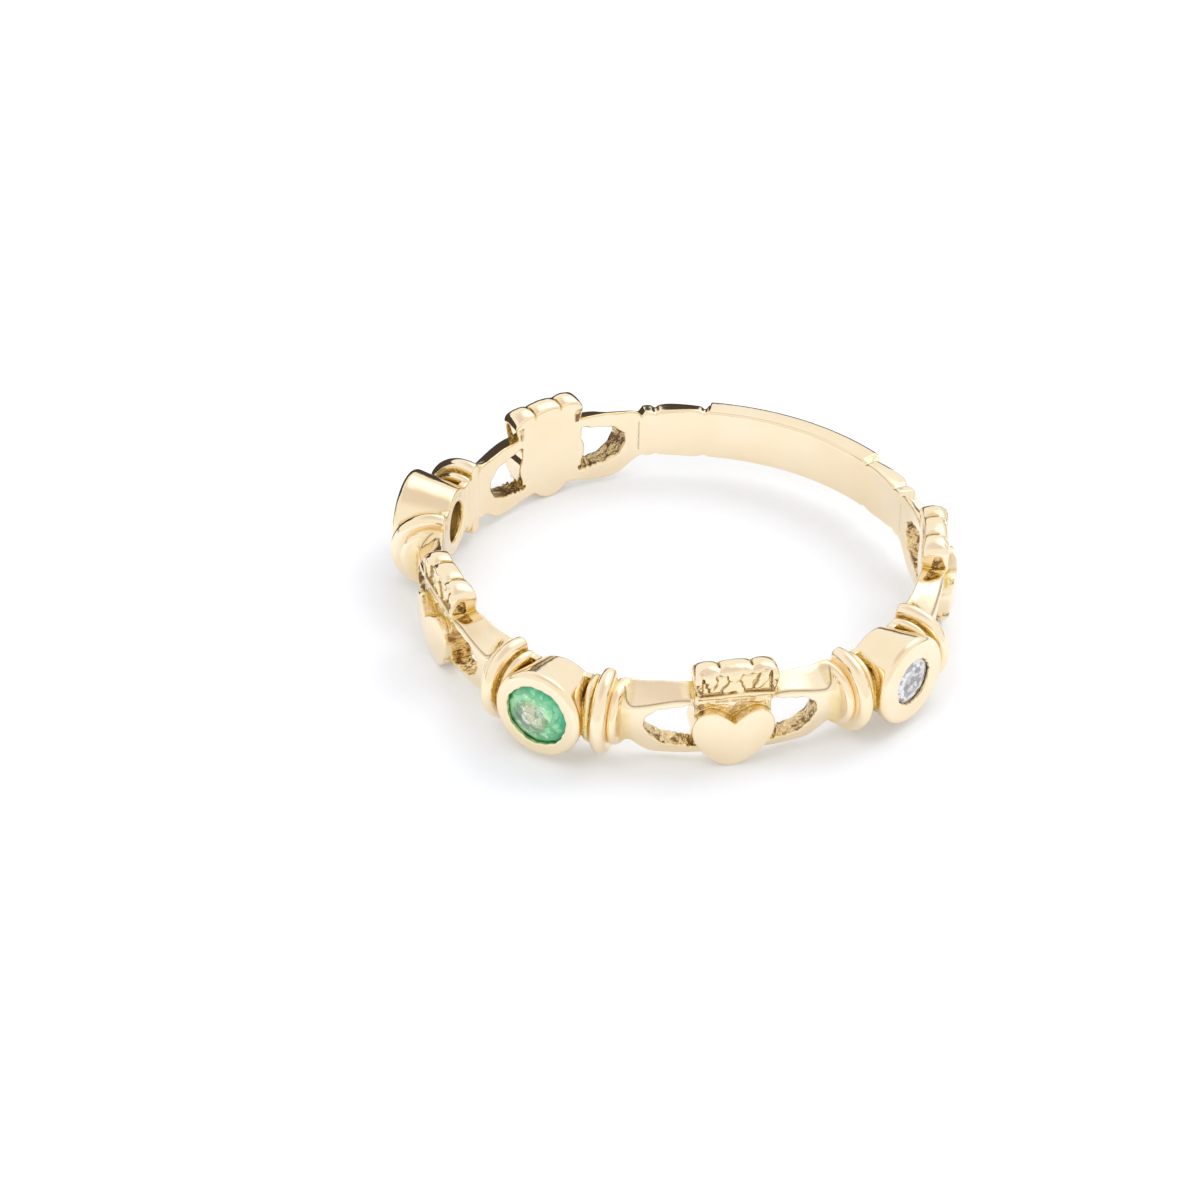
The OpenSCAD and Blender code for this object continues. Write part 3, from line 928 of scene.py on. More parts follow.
    def field(self, p: np.ndarray) -> np.ndarray:
        """Joins arms, core, heart and crown with small fillets and cuts the finger hole.

        Formula: the arms less the ground over the heart, with a core behind it; the heart's
        outline under a wide sphere; the crown; and outside the finger hole's circle, which is a
        hair wider at the wrists.

        Args:
            p: Points in the form's own frame.

        Returns:
            The field, negative inside.
        """
        plan, fillet = self.plan, self.small_fillet
        x, y, z = p[..., 0], p[..., 1], p[..., 2]
        r = np.hypot(x, y)
        side = np.abs(y)
        ground = plan.bore_r + self.ground_share * plan.arm_depth
        dip = np.maximum(z - self.bar_edge(y), ground - x)
        dip = np.maximum(side - self.ground_half * self.crown_w, dip)
        body = smooth_max(self.arms(x, y, z), -np.maximum(dip, -z), fillet)
        core = np.maximum(z - 0.9 * plan.arm_top, x - ground)
        core = np.maximum(side - self.core_half * self.crown_w, core)
        core = np.maximum(core, -0.55 * plan.hand_drop - z)
        body = smooth_min(body, core, fillet)
        dome_r = 1.6 * self.heart_w
        top = plan.bore_r + plan.arm_depth + self.heart_proud - 0.02
        dome = np.sqrt((x - top + dome_r) ** 2 + y * y + z * z) - dome_r
        body = smooth_min(body, round_max(self.heart.at(y, z), dome, fillet), 0.03)
        body = smooth_min(body, self.crown_body(x, y, z), fillet)
        tuck = 0.01 * ease(side, plan.half_motif - 0.27, plan.half_motif + 0.03)
        return smooth_max(body, plan.bore_r + tuck - r, self.bore_round)


@dataclass
class Setting(CastForm):
    """A tapered bezel with a neck ring, a big collar and a small cuff at each side."""

    stone_d: float = 2.46
    bezel_back_d: float = 2.6
    bezel_h: float = 1.99
    back_hole_d: float = 1.5
    collar_d: float = 3.12
    neck_w: float = 0.4
    neck_d: float = 2.44
    table_sink: float = 0.05
    lip: float = 0.07
    hole_wall: float = 0.15
    strip_h: float = 0.3
    fillet: float = 0.05
    bead_fillet: float = 0.04
    mouth_round: float = 0.04
    stone_gap: float = 0.02
    rim_round: float = 0.28
    inset: float = 0.012
    rim_low: float = 0.02
    spacing: float = 0.04

    def lattice(self) -> Lattice:
        """The sample box round the bezel and its turned members."""
        return Lattice(self.plan, 16.4, -1.8, 1.8, 2.24, self.spacing)

    def turned(self, x: np.ndarray, y: np.ndarray, z: np.ndarray) -> np.ndarray:
        """Neck ring and collar on a straight axis along the band, at both sides alike.

        Args:
            x: Distances out from the finger axis, in the form's own frame.
            y: Distances along the band.
            z: Heights.

        Returns:
            The field of both rings and their core.
        """
        plan = self.plan
        neck_at = plan.collar_at - (plan.collar_w + self.neck_w) / 2 + plan.turned_gap
        along, off = plan.turned_line(x, np.abs(y), z)
        core = np.maximum(off - 0.4 * plan.cuff_d, np.maximum(along - plan.cuff_at, neck_at - along))
        neck = plan.bead(along, off, neck_at, self.neck_w, self.neck_d)
        collar = plan.bead(along, off, plan.collar_at, plan.collar_w, self.collar_d)
        return smooth_min(smooth_min(core, neck, self.bead_fillet), collar, self.bead_fillet)

    def hollow(self, across: np.ndarray, out: np.ndarray, turn: np.ndarray) -> np.ndarray:
        """The space inside the bezel: an uneven mouth, seat, cone below the stone and back hole.

        Formula: the least of three fields, each the largest of its distances from flat and conical
        faces.

        Args:
            across: Distances from the bezel's axis.
            out: Distances over the finger hole, along that axis.
            turn: Angles about that axis.

        Returns:
            The space's field.
        """
        r, cut = self.stone_d / 2, self.plan.cut
        girdle = self.table_sink + cut.crown * r
        under_lip = girdle - self.stone_gap - self.lip * cut.crown / (1 - cut.table)
        floor = self.bezel_h - girdle - cut.girdle * r - self.stone_gap
        hole_r = min(self.back_hole_d / 2, r - self.hole_wall)
        uneven = 0.014 * np.sin(7.0 * turn + 1.0) + 0.012 * np.sin(19.0 * turn)
        mouth = np.maximum(across - (r - self.lip) - uneven, floor - out)
        seat = np.maximum(out - self.bezel_h + under_lip, floor - out)
        seat = np.maximum(across - r - self.stone_gap, seat)
        run = (r + self.stone_gap - hole_r) * cut.back
        cone = (across - hole_r - np.maximum(out - floor + run, 0.0) / cut.back) * cut.back
        cone = np.maximum(cone, out - floor)
        return np.minimum(np.minimum(mouth, seat), cone)

    def field(self, p: np.ndarray) -> np.ndarray:
        """Joins bezel, turned members and the strip at the finger, and cuts seat and finger hole.

        Formula: a cone with a rounded rim, the turned beads and a low box joined by small fillets,
        less the hollow and the finger hole's circle.

        Args:
            p: Points in the form's own frame.

        Returns:
            The field, negative inside.
        """
        bore_r = self.plan.bore_r
        x, y, z = p[..., 0], p[..., 1], p[..., 2]
        r = np.hypot(x, y)
        across, out = np.hypot(y, z), x - bore_r
        taper = (self.plan.bezel_d - self.bezel_back_d) / 2 / self.bezel_h
        cone = (across - self.bezel_back_d / 2 - taper * out) / math.hypot(1, taper) + self.inset
        bezel = round_max(cone, out - self.bezel_h + self.rim_low, self.rim_round)
        reach = 0.95 * self.plan.collar_at
        strip = np.maximum(r - bore_r - self.strip_h, np.abs(y) - reach)
        strip = np.maximum(np.abs(z) - 0.4 * self.neck_d, strip)
        body = smooth_min(bezel, self.turned(x, y, z), self.fillet)
        body = smooth_min(body, strip, self.fillet)
        body = smooth_max(body, -self.hollow(across, out, np.arctan2(z, y)), self.mouth_round)
        return smooth_max(body, bore_r - r, self.bore_round)


@dataclass
class CutGem:
    """A round stone cut with a table, two rows of crown facets, a girdle and two rows at its back."""

    plan: RingPlan
    girdle_r: float
    table_out: float = 1.94
    crown_ring: tuple = (0.82, 0.46)
    back_ring: tuple = (0.42, 0.58)

    def ring(self, count: int, share: float, depth: float, offset: float) -> np.ndarray:
        """Points on a circle about the stone's axis.

        Formula: the circle's radius and its depth under the table are shares of the girdle's
        radius, and the first point is turned by a part of a step.

        Args:
            count: How many points.
            share: The circle's radius, as a share.
            depth: Its depth, as a share.
            offset: The part of a step that the first point is turned by.

        Returns:
            The points.
        """
        turn = 2 * math.pi * (np.arange(count) + offset) / count
        out = np.full(count, self.plan.bore_r + self.table_out - depth * self.girdle_r)
        r = share * self.girdle_r
        return np.stack([out, r * np.cos(turn), r * np.sin(turn)], -1)

    def make(self, name: str, degrees: float) -> bpy.types.Object:
        """Joins eight and sixteen points per ring by flat triangles.

        Formula: table ring, crown ring half a step on, both edges of the girdle, back ring half a
        step on, and the point at the back.

        Args:
            name: The piece's name.
            degrees: The bearing of the stone round the finger.

        Returns:
            The new object, linked to the scene.
        """
        cut = self.plan.cut
        low = cut.crown + cut.girdle
        rings = [
            self.ring(8, cut.table, 0.0, 0.0),
            self.ring(8, self.crown_ring[0], self.crown_ring[1] * cut.crown, 0.5),
            self.ring(16, 1.0, cut.crown, 0.0),
            self.ring(16, 1.0, low, 0.0),
            self.ring(8, self.back_ring[0], low + self.back_ring[1] * cut.back, 0.5),
            self.ring(1, 0.0, low + cut.back, 0.0),
            self.ring(1, 0.0, 0.0, 0.0),
        ]
        k, j = np.arange(8), np.arange(16)
        after, before, beside = (k + 1) % 8, (k - 1) % 8, (j + 1) % 16
        top, crown, upper, lower, back = k, 8 + k, 16 + j, 32 + j, 48 + k
        even, odd, end = upper[2 * k], upper[2 * k + 1], upper[2 * after]
        even_low, odd_low, end_low = lower[2 * k], lower[2 * k + 1], lower[2 * after]
        tip, middle = np.full(8, 56), np.full(8, 57)
        facets = [
            (middle, top, top[after]),
            (top, crown, top[after]),
            (top, crown[before], even),
            (top, even, crown),
            (crown, even, odd),
            (crown, odd, end),
            (upper, lower, lower[beside]),
            (upper, lower[beside], upper[beside]),
            (back, odd_low, even_low),
            (back, end_low, odd_low),
            (even_low, back[before], back),
            (tip, back[after], back),
        ]
        triangles = np.concatenate([np.stack(facet, -1) for facet in facets])
        return flat_faced(name, spun(np.concatenate(rings), degrees), triangles)


@dataclass
class Shank:
    """The plain band behind with a worked shoulder at each end, as one surface of two parameters."""

    plan: RingPlan
    turns: int = 600
    shoulder_turns: float = 0.8
    shoulder_reach: float = 1.1
    side_steps: int = 5
    round_steps: int = 5
    face_steps: int = 20
    corner: float = 0.12
    corner_share: float = 0.3
    lean: float = 0.985
    even_from: tuple = (0.9, 0.98)
    inset: float = 0.002
    end_taper: float = 0.3

    # Along from the wrist, as a share of the shoulder's length; half width and depth, as shares of
    # the shank's
    shoulder_rows: ClassVar[tuple] = (
        (-0.10, 0.72, 0.60), (0.00, 0.72, 0.60), (0.05, 0.80, 0.70), (0.12, 0.96, 0.82),
        (0.20, 0.94, 0.82), (0.26, 0.88, 0.70), (0.33, 0.94, 0.82), (0.44, 0.98, 0.90),
        (0.58, 1.00, 0.84), (0.74, 1.03, 0.72), (0.86, 1.00, 0.62), (0.93, 0.92, 0.52),
        (0.97, 0.97, 0.70), (1.00, 1.00, 0.98), (1.03, 1.00, 1.00), (1.40, 1.00, 1.00),
    )

    def sections(self) -> tuple:
        """Angle, half width and depth of each section along the band.

        Formula: the shoulder's table, smoothed, read by the distance from the nearer wrist; past
        the table the shank is even. Sections lie closer on the shoulders than on the even shank.

        Returns:
            Three arrays with one value for each section.
        """
        plan = self.plan
        start = 3 * plan.step_angle + plan.angle_of(plan.half_motif)
        lead = plan.angle_of(-self.shoulder_rows[0][0] * plan.shoulder_len)
        rows = smooth_line(self.shoulder_rows, 8)
        half_turn = 180.0 - start + lead
        near = np.linspace(0.0, 1.0, self.turns // 2)
        reach = plan.angle_of(self.shoulder_reach * plan.shoulder_len) / half_turn
        close = self.shoulder_turns
        past = reach + (near - close) / (1 - close) * (1 - reach)
        near = np.where(near < close, near / close * reach, past)
        share = (near * half_turn - lead) / plan.angle_of(plan.shoulder_len)
        half = np.interp(share, rows[:, 0], rows[:, 1]) * plan.shank_half
        depth = np.interp(share, rows[:, 0], rows[:, 2])
        angle = start - lead + near * half_turn
        mirror = slice(-2, None, -1)
        return (
            np.concatenate([angle, 360.0 - angle[mirror]]),
            np.concatenate([half, half[mirror]]),
            np.concatenate([depth, depth[mirror]]),
        )

    def profiles(self, half: np.ndarray, edge: np.ndarray, top: np.ndarray) -> np.ndarray:
        """Draws the four-sided section at each place along the band.

        Formula: four straight sides joined by quadratic arcs at their corners.

        Args:
            half: The sections' half widths at the finger.
            edge: Their depths at the outer edges.
            top: The heights of their upper outer edges.

        Returns:
            Points as distances over the finger hole and heights, with one row for each section.
        """
        zero = np.zeros_like(half)
        corners = ((zero, -half), (edge, -half * self.lean), (edge, top * self.lean), (zero, half))
        corners = np.stack([np.stack(corner, -1) for corner in corners], 1)
        radius = np.minimum(self.corner, self.corner_share * edge)[:, None]
        loop = []
        for k, steps in enumerate((self.side_steps, self.face_steps, self.side_steps, self.face_steps)):
            a, b, c = corners[:, k], corners[:, (k + 1) % 4], corners[:, (k + 2) % 4]
            to = (b - a) / np.linalg.norm(b - a, axis=1)[:, None]
            on = (c - b) / np.linalg.norm(c - b, axis=1)[:, None]
            first, last = (a + to * radius)[:, None], (b - to * radius)[:, None]
            after = (b + on * radius)[:, None]
            t = np.linspace(0, 1, steps, endpoint=False)[None, :, None]
            loop.append(first * (1 - t) + last * t)
            t = np.linspace(0, 1, self.round_steps, endpoint=False)[None, :, None]
            loop.append(last * (1 - t) ** 2 + b[:, None] * (2 * t * (1 - t)) + after * t * t)
        return np.concatenate(loop, 1)

    def surface(self) -> np.ndarray:
        """Carries the section along the band.

        Formula: the outer side swells by the crown times 1 - t^2 across it; both ends run in
        towards the section's middle.

        Returns:
            The points, with one row for each section.
        """
        plan = self.plan
        angle, half, depth = self.sections()
        deep = (plan.shank_edge + plan.shank_crown) * depth
        edge = deep - plan.shank_crown * np.minimum(depth, 1.0)
        crown = deep - edge
        top = np.minimum(half, plan.arm_top - plan.arm_fall / plan.arm_edge * edge)
        even = np.interp(depth, self.even_from, (0.0, 1.0))
        profile = self.profiles(half, edge, top * (1 - even) + half * even)
        width = np.maximum(half, TINY)[:, None]
        swell = np.clip(1 - (profile[..., 1] / width) ** 2, 0, 1) * crown[:, None]
        outer = profile[..., 0] / np.maximum(edge, TINY)[:, None]
        out = (profile[..., 0] + swell * np.clip(outer, 0, 1) ** 3) * (1.0 - self.inset)
        length = np.minimum(angle - angle[0], angle[-1] - angle)[:, None] / plan.angle_of(1.0)
        out = np.maximum(out, 0.01 * (1.0 - ease(length, 0.0, 0.3)))
        closing = np.zeros((len(angle), 1))
        closing[[0, -1]] = self.end_taper
        r = plan.bore_r + out + closing * (0.5 * edge[:, None] - out)
        turn = np.radians(plan.front + angle)[:, None]
        return np.stack([r * np.cos(turn), r * np.sin(turn), profile[..., 1] * (1 - closing)], -1)

    def shell(self) -> Shell:
        """Joins the surface's points by quads and closes both ends to a point in their middle.

        Returns:
            The mesh round the finger, its end faces first and shaded flat.
        """
        points = self.surface()
        rows, ring = points.shape[:2]
        whole = np.concatenate([points.reshape(-1, 3), points[[0, -1]].mean(1)])
        i, j = np.meshgrid(np.arange(rows - 1), np.arange(ring), indexing="ij")
        a, b = i * ring + j, i * ring + (j + 1) % ring
        body = np.stack([a, a + ring, b + ring, b], -1).reshape(-1, 4)
        j = np.arange(0, ring, 2)
        base = (rows - 1) * ring
        beside, after = (j + 1) % ring, (j + 2) % ring
        first = np.stack([np.full_like(j, rows * ring), after, beside, j], -1)
        last = np.stack([np.full_like(j, rows * ring + 1), base + j, base + beside, base + after], -1)
        ends = [first[:, ::-1], last[:, ::-1], body[:ring], body[-ring:]]
        quads = np.concatenate(ends + [body[ring:-ring]])
        marks = {name: np.zeros(len(whole)) for name in ("recess", "line_shade", "skin")}
        return Shell(whole, quads, marks, sum(len(part) for part in ends))


class NodeTree:
    """Short hand for nodes: values and outputs go into their sockets, and an output comes back."""

    def __init__(self, tree: bpy.types.NodeTree) -> None:
        """Keeps the tree to build in."""
        self.tree = tree

    def put(self, socket: bpy.types.NodeSocket, value: object) -> None:
        """Links an output to a socket, or sets the socket's own value.

        Args:
            socket: The socket.
            value: An output of another node, or a number, vector or colour.
        """
        if isinstance(value, bpy.types.NodeSocket):
            self.tree.links.new(value, socket)
        else:
            socket.default_value = value

    def node(self, kind: str, inputs: dict, output: object = 0, **settings: object) -> object:
        """Adds a node.

        Args:
            kind: The node's type, without the word that every shader node's type starts with.
            inputs: What goes into its sockets, by their names or numbers.
            output: The name or number of the output that is wanted.
            settings: The node's own settings, such as its operation.

        Returns:
            That output.
        """
        node = self.tree.nodes.new("ShaderNode" + kind)
        for name, value in settings.items():
            setattr(node, name, value)
        for socket, value in inputs.items():
            self.put(node.inputs[socket], value)
        return node.outputs[output]

    def axes(self, vector: object) -> object:
        """The three numbers of a vector, as outputs."""
        return self.node("SeparateXYZ", {0: vector}).node.outputs

    def math(self, kind: str, a: object, b: object = 0.0) -> object:
        """A Math node of one or two values."""
        return self.node("Math", {0: a, 1: b}, operation=kind)

    def vector(self, kind: str, a: object, b: object = (0.0, 0.0, 0.0), output: object = 0) -> object:
        """A Vector Math node of one or two vectors."""
        return self.node("VectorMath", {0: a, 1: b}, output, operation=kind)

    def times(self, a: object, b: object) -> object:
        """The product of two values."""
        return self.math("MULTIPLY", a, b)

    def plus(self, a: object, b: object) -> object:
        """The sum of two values."""
        return self.math("ADD", a, b)

    def higher(self, a: object, b: object) -> object:
        """The larger of two values."""
        return self.math("MAXIMUM", a, b)

    def spread(self, value: object, low: float, high: float, start: float = 0.0, end: float = 1.0,
               way: Spread = Spread.EVEN) -> object:
        """Carries a value from one range to another, held at its ends.

        Args:
            value: What is carried.
            low: The value that gives start.
            high: The value that gives end.
            start: Result at low and below it.
            end: Result at high and past it.
            way: Whether the way between them is even or eased at both ends.

        Returns:
            The result's output.
        """
        inputs = {"Value": value, "From Min": low, "From Max": high, "To Min": start, "To Max": end}
        return self.node("MapRange", inputs, interpolation_type=way.value)

    def mix(self, share: object, a: object, b: object) -> object:
        """Two colours mixed by a share."""
        return self.node("Mix", {0: share, 6: a, 7: b}, 2, data_type="RGBA")


class Graph(NodeTree):
    """The nodes of a material, with the object's own coordinates in millimetres."""

    def __init__(self, name: str) -> None:
        """Starts a material with a surface shader and its output.

        Args:
            name: The material's name.
        """
        self.material = bpy.data.materials.new(name)
        self.material.use_nodes = True
        super().__init__(self.material.node_tree)
        self.tree.nodes.clear()
        surface = self.node("BsdfPrincipled", {})
        self.shader = surface.node
        self.put(self.tree.nodes.new("ShaderNodeOutputMaterial").inputs["Surface"], surface)
        self.place = self.mapped(self.node("TexCoord", {}, "Object"), Scale=(1 / MM,) * 3)

    def mapped(self, vector: object, **how: tuple) -> object:
        """A vector scaled or turned by a Mapping node."""
        return self.node("Mapping", {"Vector": vector, **how})

    def noise(self, scale: float, detail: float = 2.0, rough: float = 0.5,
              squeeze: tuple = ()) -> object:
        """A noise of so many cells a millimetre, drawn out by a squeeze along each axis.

        Args:
            scale: Cells a millimetre.
            detail: How many finer layers it has.
            rough: How strong they are.
            squeeze: Scales along the three axes.

        Returns:
            The noise's output.
        """
        vector = self.mapped(self.place, Scale=squeeze) if squeeze else self.place
        inputs = {"Vector": vector, "Scale": scale, "Detail": detail, "Roughness": rough}
        return self.node("TexNoise", inputs, "Fac")

    def bump(self, height: object, distance: float, strength: object = 1.0, **over: object) -> object:
        """A bump of a height value, its distance in millimetres, over another one given as Normal."""
        inputs = {"Distance": distance * MM, "Strength": strength, "Height": height, **over}
        return self.node("Bump", inputs)

    def cells(self, scale: float) -> tuple:
        """A pattern of cells, so many a millimetre: each cell's own colour, and the way to its edge.

        Args:
            scale: Cells a millimetre.

        Returns:
            The colour's output and the distance's.
        """
        inputs = {"Vector": self.place, "Scale": scale}
        edge = self.node("TexVoronoi", inputs, "Distance", feature="DISTANCE_TO_EDGE")
        return self.node("TexVoronoi", inputs, "Color"), edge

    def tilted(self, colours: object, lean: float) -> object:
        """The surface's normal, tilted another way by each cell's colour, as small facets are.

        Formula: the normal plus lean times (colour - 0.5), made one long.
        """
        way = self.vector("MULTIPLY", self.vector("SUBTRACT", colours, (0.5,) * 3), (lean,) * 3)
        return self.vector("NORMALIZE", self.vector("ADD", way, self.node("NewGeometry", {}, "Normal")))

    def attribute(self, name: str) -> object:
        """A value that the mesh holds at its points."""
        return self.node("Attribute", {}, "Fac", attribute_name=name)

    def set(self, **sockets: object) -> None:
        """Sets or links sockets of the surface shader by their names, with _ for a space."""
        for name, value in sockets.items():
            self.put(self.shader.inputs[name.replace("_", " ")], value)


@dataclass(frozen=True)
class CastGold:
    """Polished cast gold: bright on worn faces, matter in its recesses, with painted shade that makes
    recesses deeper and lines, patches and holes brown.
    """

    name: str = "cast_gold"
    worn: tuple = (0.97, 0.83, 0.61, 1.0)
    warm: tuple = (0.95, 0.79, 0.54, 1.0)
    # The next two tones are painted shade: the deeper gold that recesses get from light mirrored between
    # their walls, and the brown of shaded lines, spots and holes.
    deep: tuple = (0.82, 0.60, 0.19, 1.0)
    dark: tuple = (0.24, 0.12, 0.05, 1.0)
    polish: float = 0.1
    matt: float = 0.34

    def colour(self, g: Graph, depth: object, recess: object, skin: object) -> object:
        """Worn gold in two tones, with painted shade: deeper gold in recesses, and brown in the shaded
        lines, in noisy spots on the rough skin and in the deepest holes.

        Args:
            g: The material's nodes.
            depth: How deep in a recess the surface lies.
            recess: The same, sharpened, with the rough skin.
            skin: Where the rough skin is.

        Returns:
            The colour's output.
        """
        worn = g.mix(g.spread(g.noise(0.5), 0.35, 0.65), self.worn, self.warm)
        # Painted shade: brown in noisy spots on the rough skin, along the shade lines and in the deepest
        # holes, over the deeper gold of recesses.
        patches = g.times(skin, g.spread(g.noise(2.6, 4.0, 0.6), 0.50, 0.57))
        darker = g.higher(g.times(g.attribute("line_shade"), 0.85), g.times(patches, 0.9))
        darker = g.higher(darker, g.spread(depth, 0.72, 1.0, 0.0, 0.8))
        return g.mix(darker, g.mix(recess, worn, self.deep), self.dark)

    def material(self) -> bpy.types.Material:
        """Builds the finish: colour, roughness and bump all follow the recess value and noise.

        Returns:
            The material.
        """
        g = Graph(self.name)
        skin, depth = g.attribute("skin"), g.attribute("recess")
        hollow = g.spread(depth, 0.06, 0.5)
        recess = g.higher(hollow, g.times(skin, 0.35))
        g.set(Base_Color=self.colour(g, depth, recess, skin), Metallic=1.0)
        rough = g.spread(g.noise(3.2, 3.0), 0.3, 0.7, self.polish * 0.8, self.polish * 1.3)
        g.set(Roughness=g.plus(rough, g.times(hollow, self.matt - self.polish)))
        waves = g.bump(g.noise(0.9), 0.12, 0.2)
        polished = g.bump(g.noise(14.0, 3.0, 0.6, (1.0, 1.0, 0.12)), 0.004, 0.35, Normal=waves)
        casting = g.plus(g.times(g.noise(3.2, 3.0, 0.6), 2.0), g.noise(12.0))
        rougher = g.higher(g.times(recess, 0.6), skin)
        g.set(Normal=g.bump(casting, 0.07, rougher, Normal=polished))
        return g.material


@dataclass(frozen=True, kw_only=True)
class CutStone:
    """A cut stone: its own tone, lighter in its middle by a painted highlight and deeper at its rim
    partly by painted shade, with painted dark reflections in its facets, and clouds in it.
    """

    name: str
    radius: float
    bearing: float
    # The stone's tone from middle to rim: the middle partly a painted highlight, the rim partly painted
    # shade; shade is the tone of painted dark reflections in the facets.
    middle: tuple
    ring: tuple
    rim: tuple
    cloud: tuple
    shade: tuple
    refraction: float
    clear: float
    clouded: float
    facets: float
    lean: float
    contrast: float
    shift: tuple = (0.0, 0.0)

    def across(self, g: Graph) -> object:
        """The distance from the stone's own axis, as the root of two squares, moved by the shift.

        Args:
            g: The material's nodes.

        Returns:
            The distance's output, in millimetres.
        """
        turned = g.mapped(g.place, Rotation=(0.0, 0.0, math.radians(-self.bearing)))
        off = [g.math("SUBTRACT", way, by) for way, by in zip(g.axes(turned)[1:], self.shift)]
        return g.math("SQRT", g.plus(g.times(off[0], off[0]), g.times(off[1], off[1])))

    def material(self) -> bpy.types.Material:
        """Builds the finish: colour, with its painted highlight and shade, by the distance from the
        stone's own axis, bent by noise.

        Returns:
            The material.
        """
        g, radius = Graph(self.name), self.radius
        across = self.across(g)
        bent = g.plus(across, g.times(g.math("SUBTRACT", g.noise(2.2, 3.0), 0.5), 0.9))
        inner, outer = (g.spread(bent, a * radius, b * radius) for a, b in ((0.30, 0.62), (0.70, 0.98)))
        colour = g.mix(outer, g.mix(inner, self.middle, self.ring), self.rim)
        clouds = g.spread(g.noise(3.4, 5.0, 0.7), 0.53, 0.62)
        clouds = g.times(clouds, g.spread(across, 0.45 * radius, 0.8 * radius, 1.0, 0.15))
        colour = g.mix(clouds, colour, self.cloud)
        # Painted reflection: cells and facet edges darkened towards the shade colour, as facets look
        # where they mirror dark surroundings.
        tones, edge = g.cells(self.facets)
        facet_reflection_darks = g.spread(g.node("SeparateColor", {0: tones}), 0.34, 0.42, 1.0, 0.0)
        for dark in (facet_reflection_darks, g.spread(edge, 0.0, 0.05, 1.0, 0.0)):
            colour = g.mix(g.times(dark, self.contrast), colour, self.shade)
        g.set(Base_Color=colour, IOR=self.refraction, Roughness=0.03)
        slant = g.spread(across, 0.50 * radius, 0.62 * radius, 1.0, 0.3)
        g.set(Transmission_Weight=g.times(slant, g.spread(clouds, 0.0, 1.0, self.clear, self.clouded)))
        g.set(Normal=g.tilted(tones, self.lean))
        return g.material


@dataclass(frozen=True, kw_only=True)
class GreenStone(CutStone):
    """The emerald: mint in its middle, partly a painted highlight, teal at its rim, partly painted
    shade, with pale clouds.
    """

    middle: tuple = (0.92, 0.99, 0.86, 1)
    ring: tuple = (0.36, 0.84, 0.43, 1)
    rim: tuple = (0.06, 0.56, 0.29, 1)
    cloud: tuple = (0.97, 0.99, 0.95, 1)
    shade: tuple = (0.02, 0.36, 0.18, 1)
    refraction: float = 1.57
    clear: float = 0.7
    clouded: float = 0.15
    facets: float = 3.2
    lean: float = 0.2
    contrast: float = 0.5
    shift: tuple = (-0.22, -0.16)


@dataclass(frozen=True, kw_only=True)
class ClearStone(CutStone):
    """A diamond: white, with painted grey reflections in small facets."""

    middle: tuple = (0.99, 0.99, 1.0, 1)
    ring: tuple = (0.96, 0.96, 0.98, 1)
    rim: tuple = (0.90, 0.90, 0.92, 1)
    cloud: tuple = (0.99, 0.99, 1.0, 1)
    shade: tuple = (0.3, 0.3, 0.32, 1)
    refraction: float = 2.3
    clear: float = 0.5
    clouded: float = 0.2
    facets: float = 5.0
    lean: float = 0.25
    contrast: float = 0.85


@dataclass(frozen=True)
class PaleFloor:
    """The plain pale floor, with a very faint unevenness."""

    name: str = "pale_floor"
    light: tuple = (0.86, 0.89, 0.94, 1.0)
    shade: tuple = (0.84, 0.87, 0.92, 1.0)
    glow: float = 0.105

    def material(self) -> bpy.types.Material:
        """Builds the floor's finish.

        Returns:
            The material.
        """
        g = Graph(self.name)
        g.set(Base_Color=g.mix(g.noise(0.05, 2.0), self.shade, self.light), Roughness=0.7)
        g.set(Specular_IOR_Level=0.2, Emission_Color=(0.98, 0.99, 1.0, 1.0), Emission_Strength=self.glow)
        return g.material


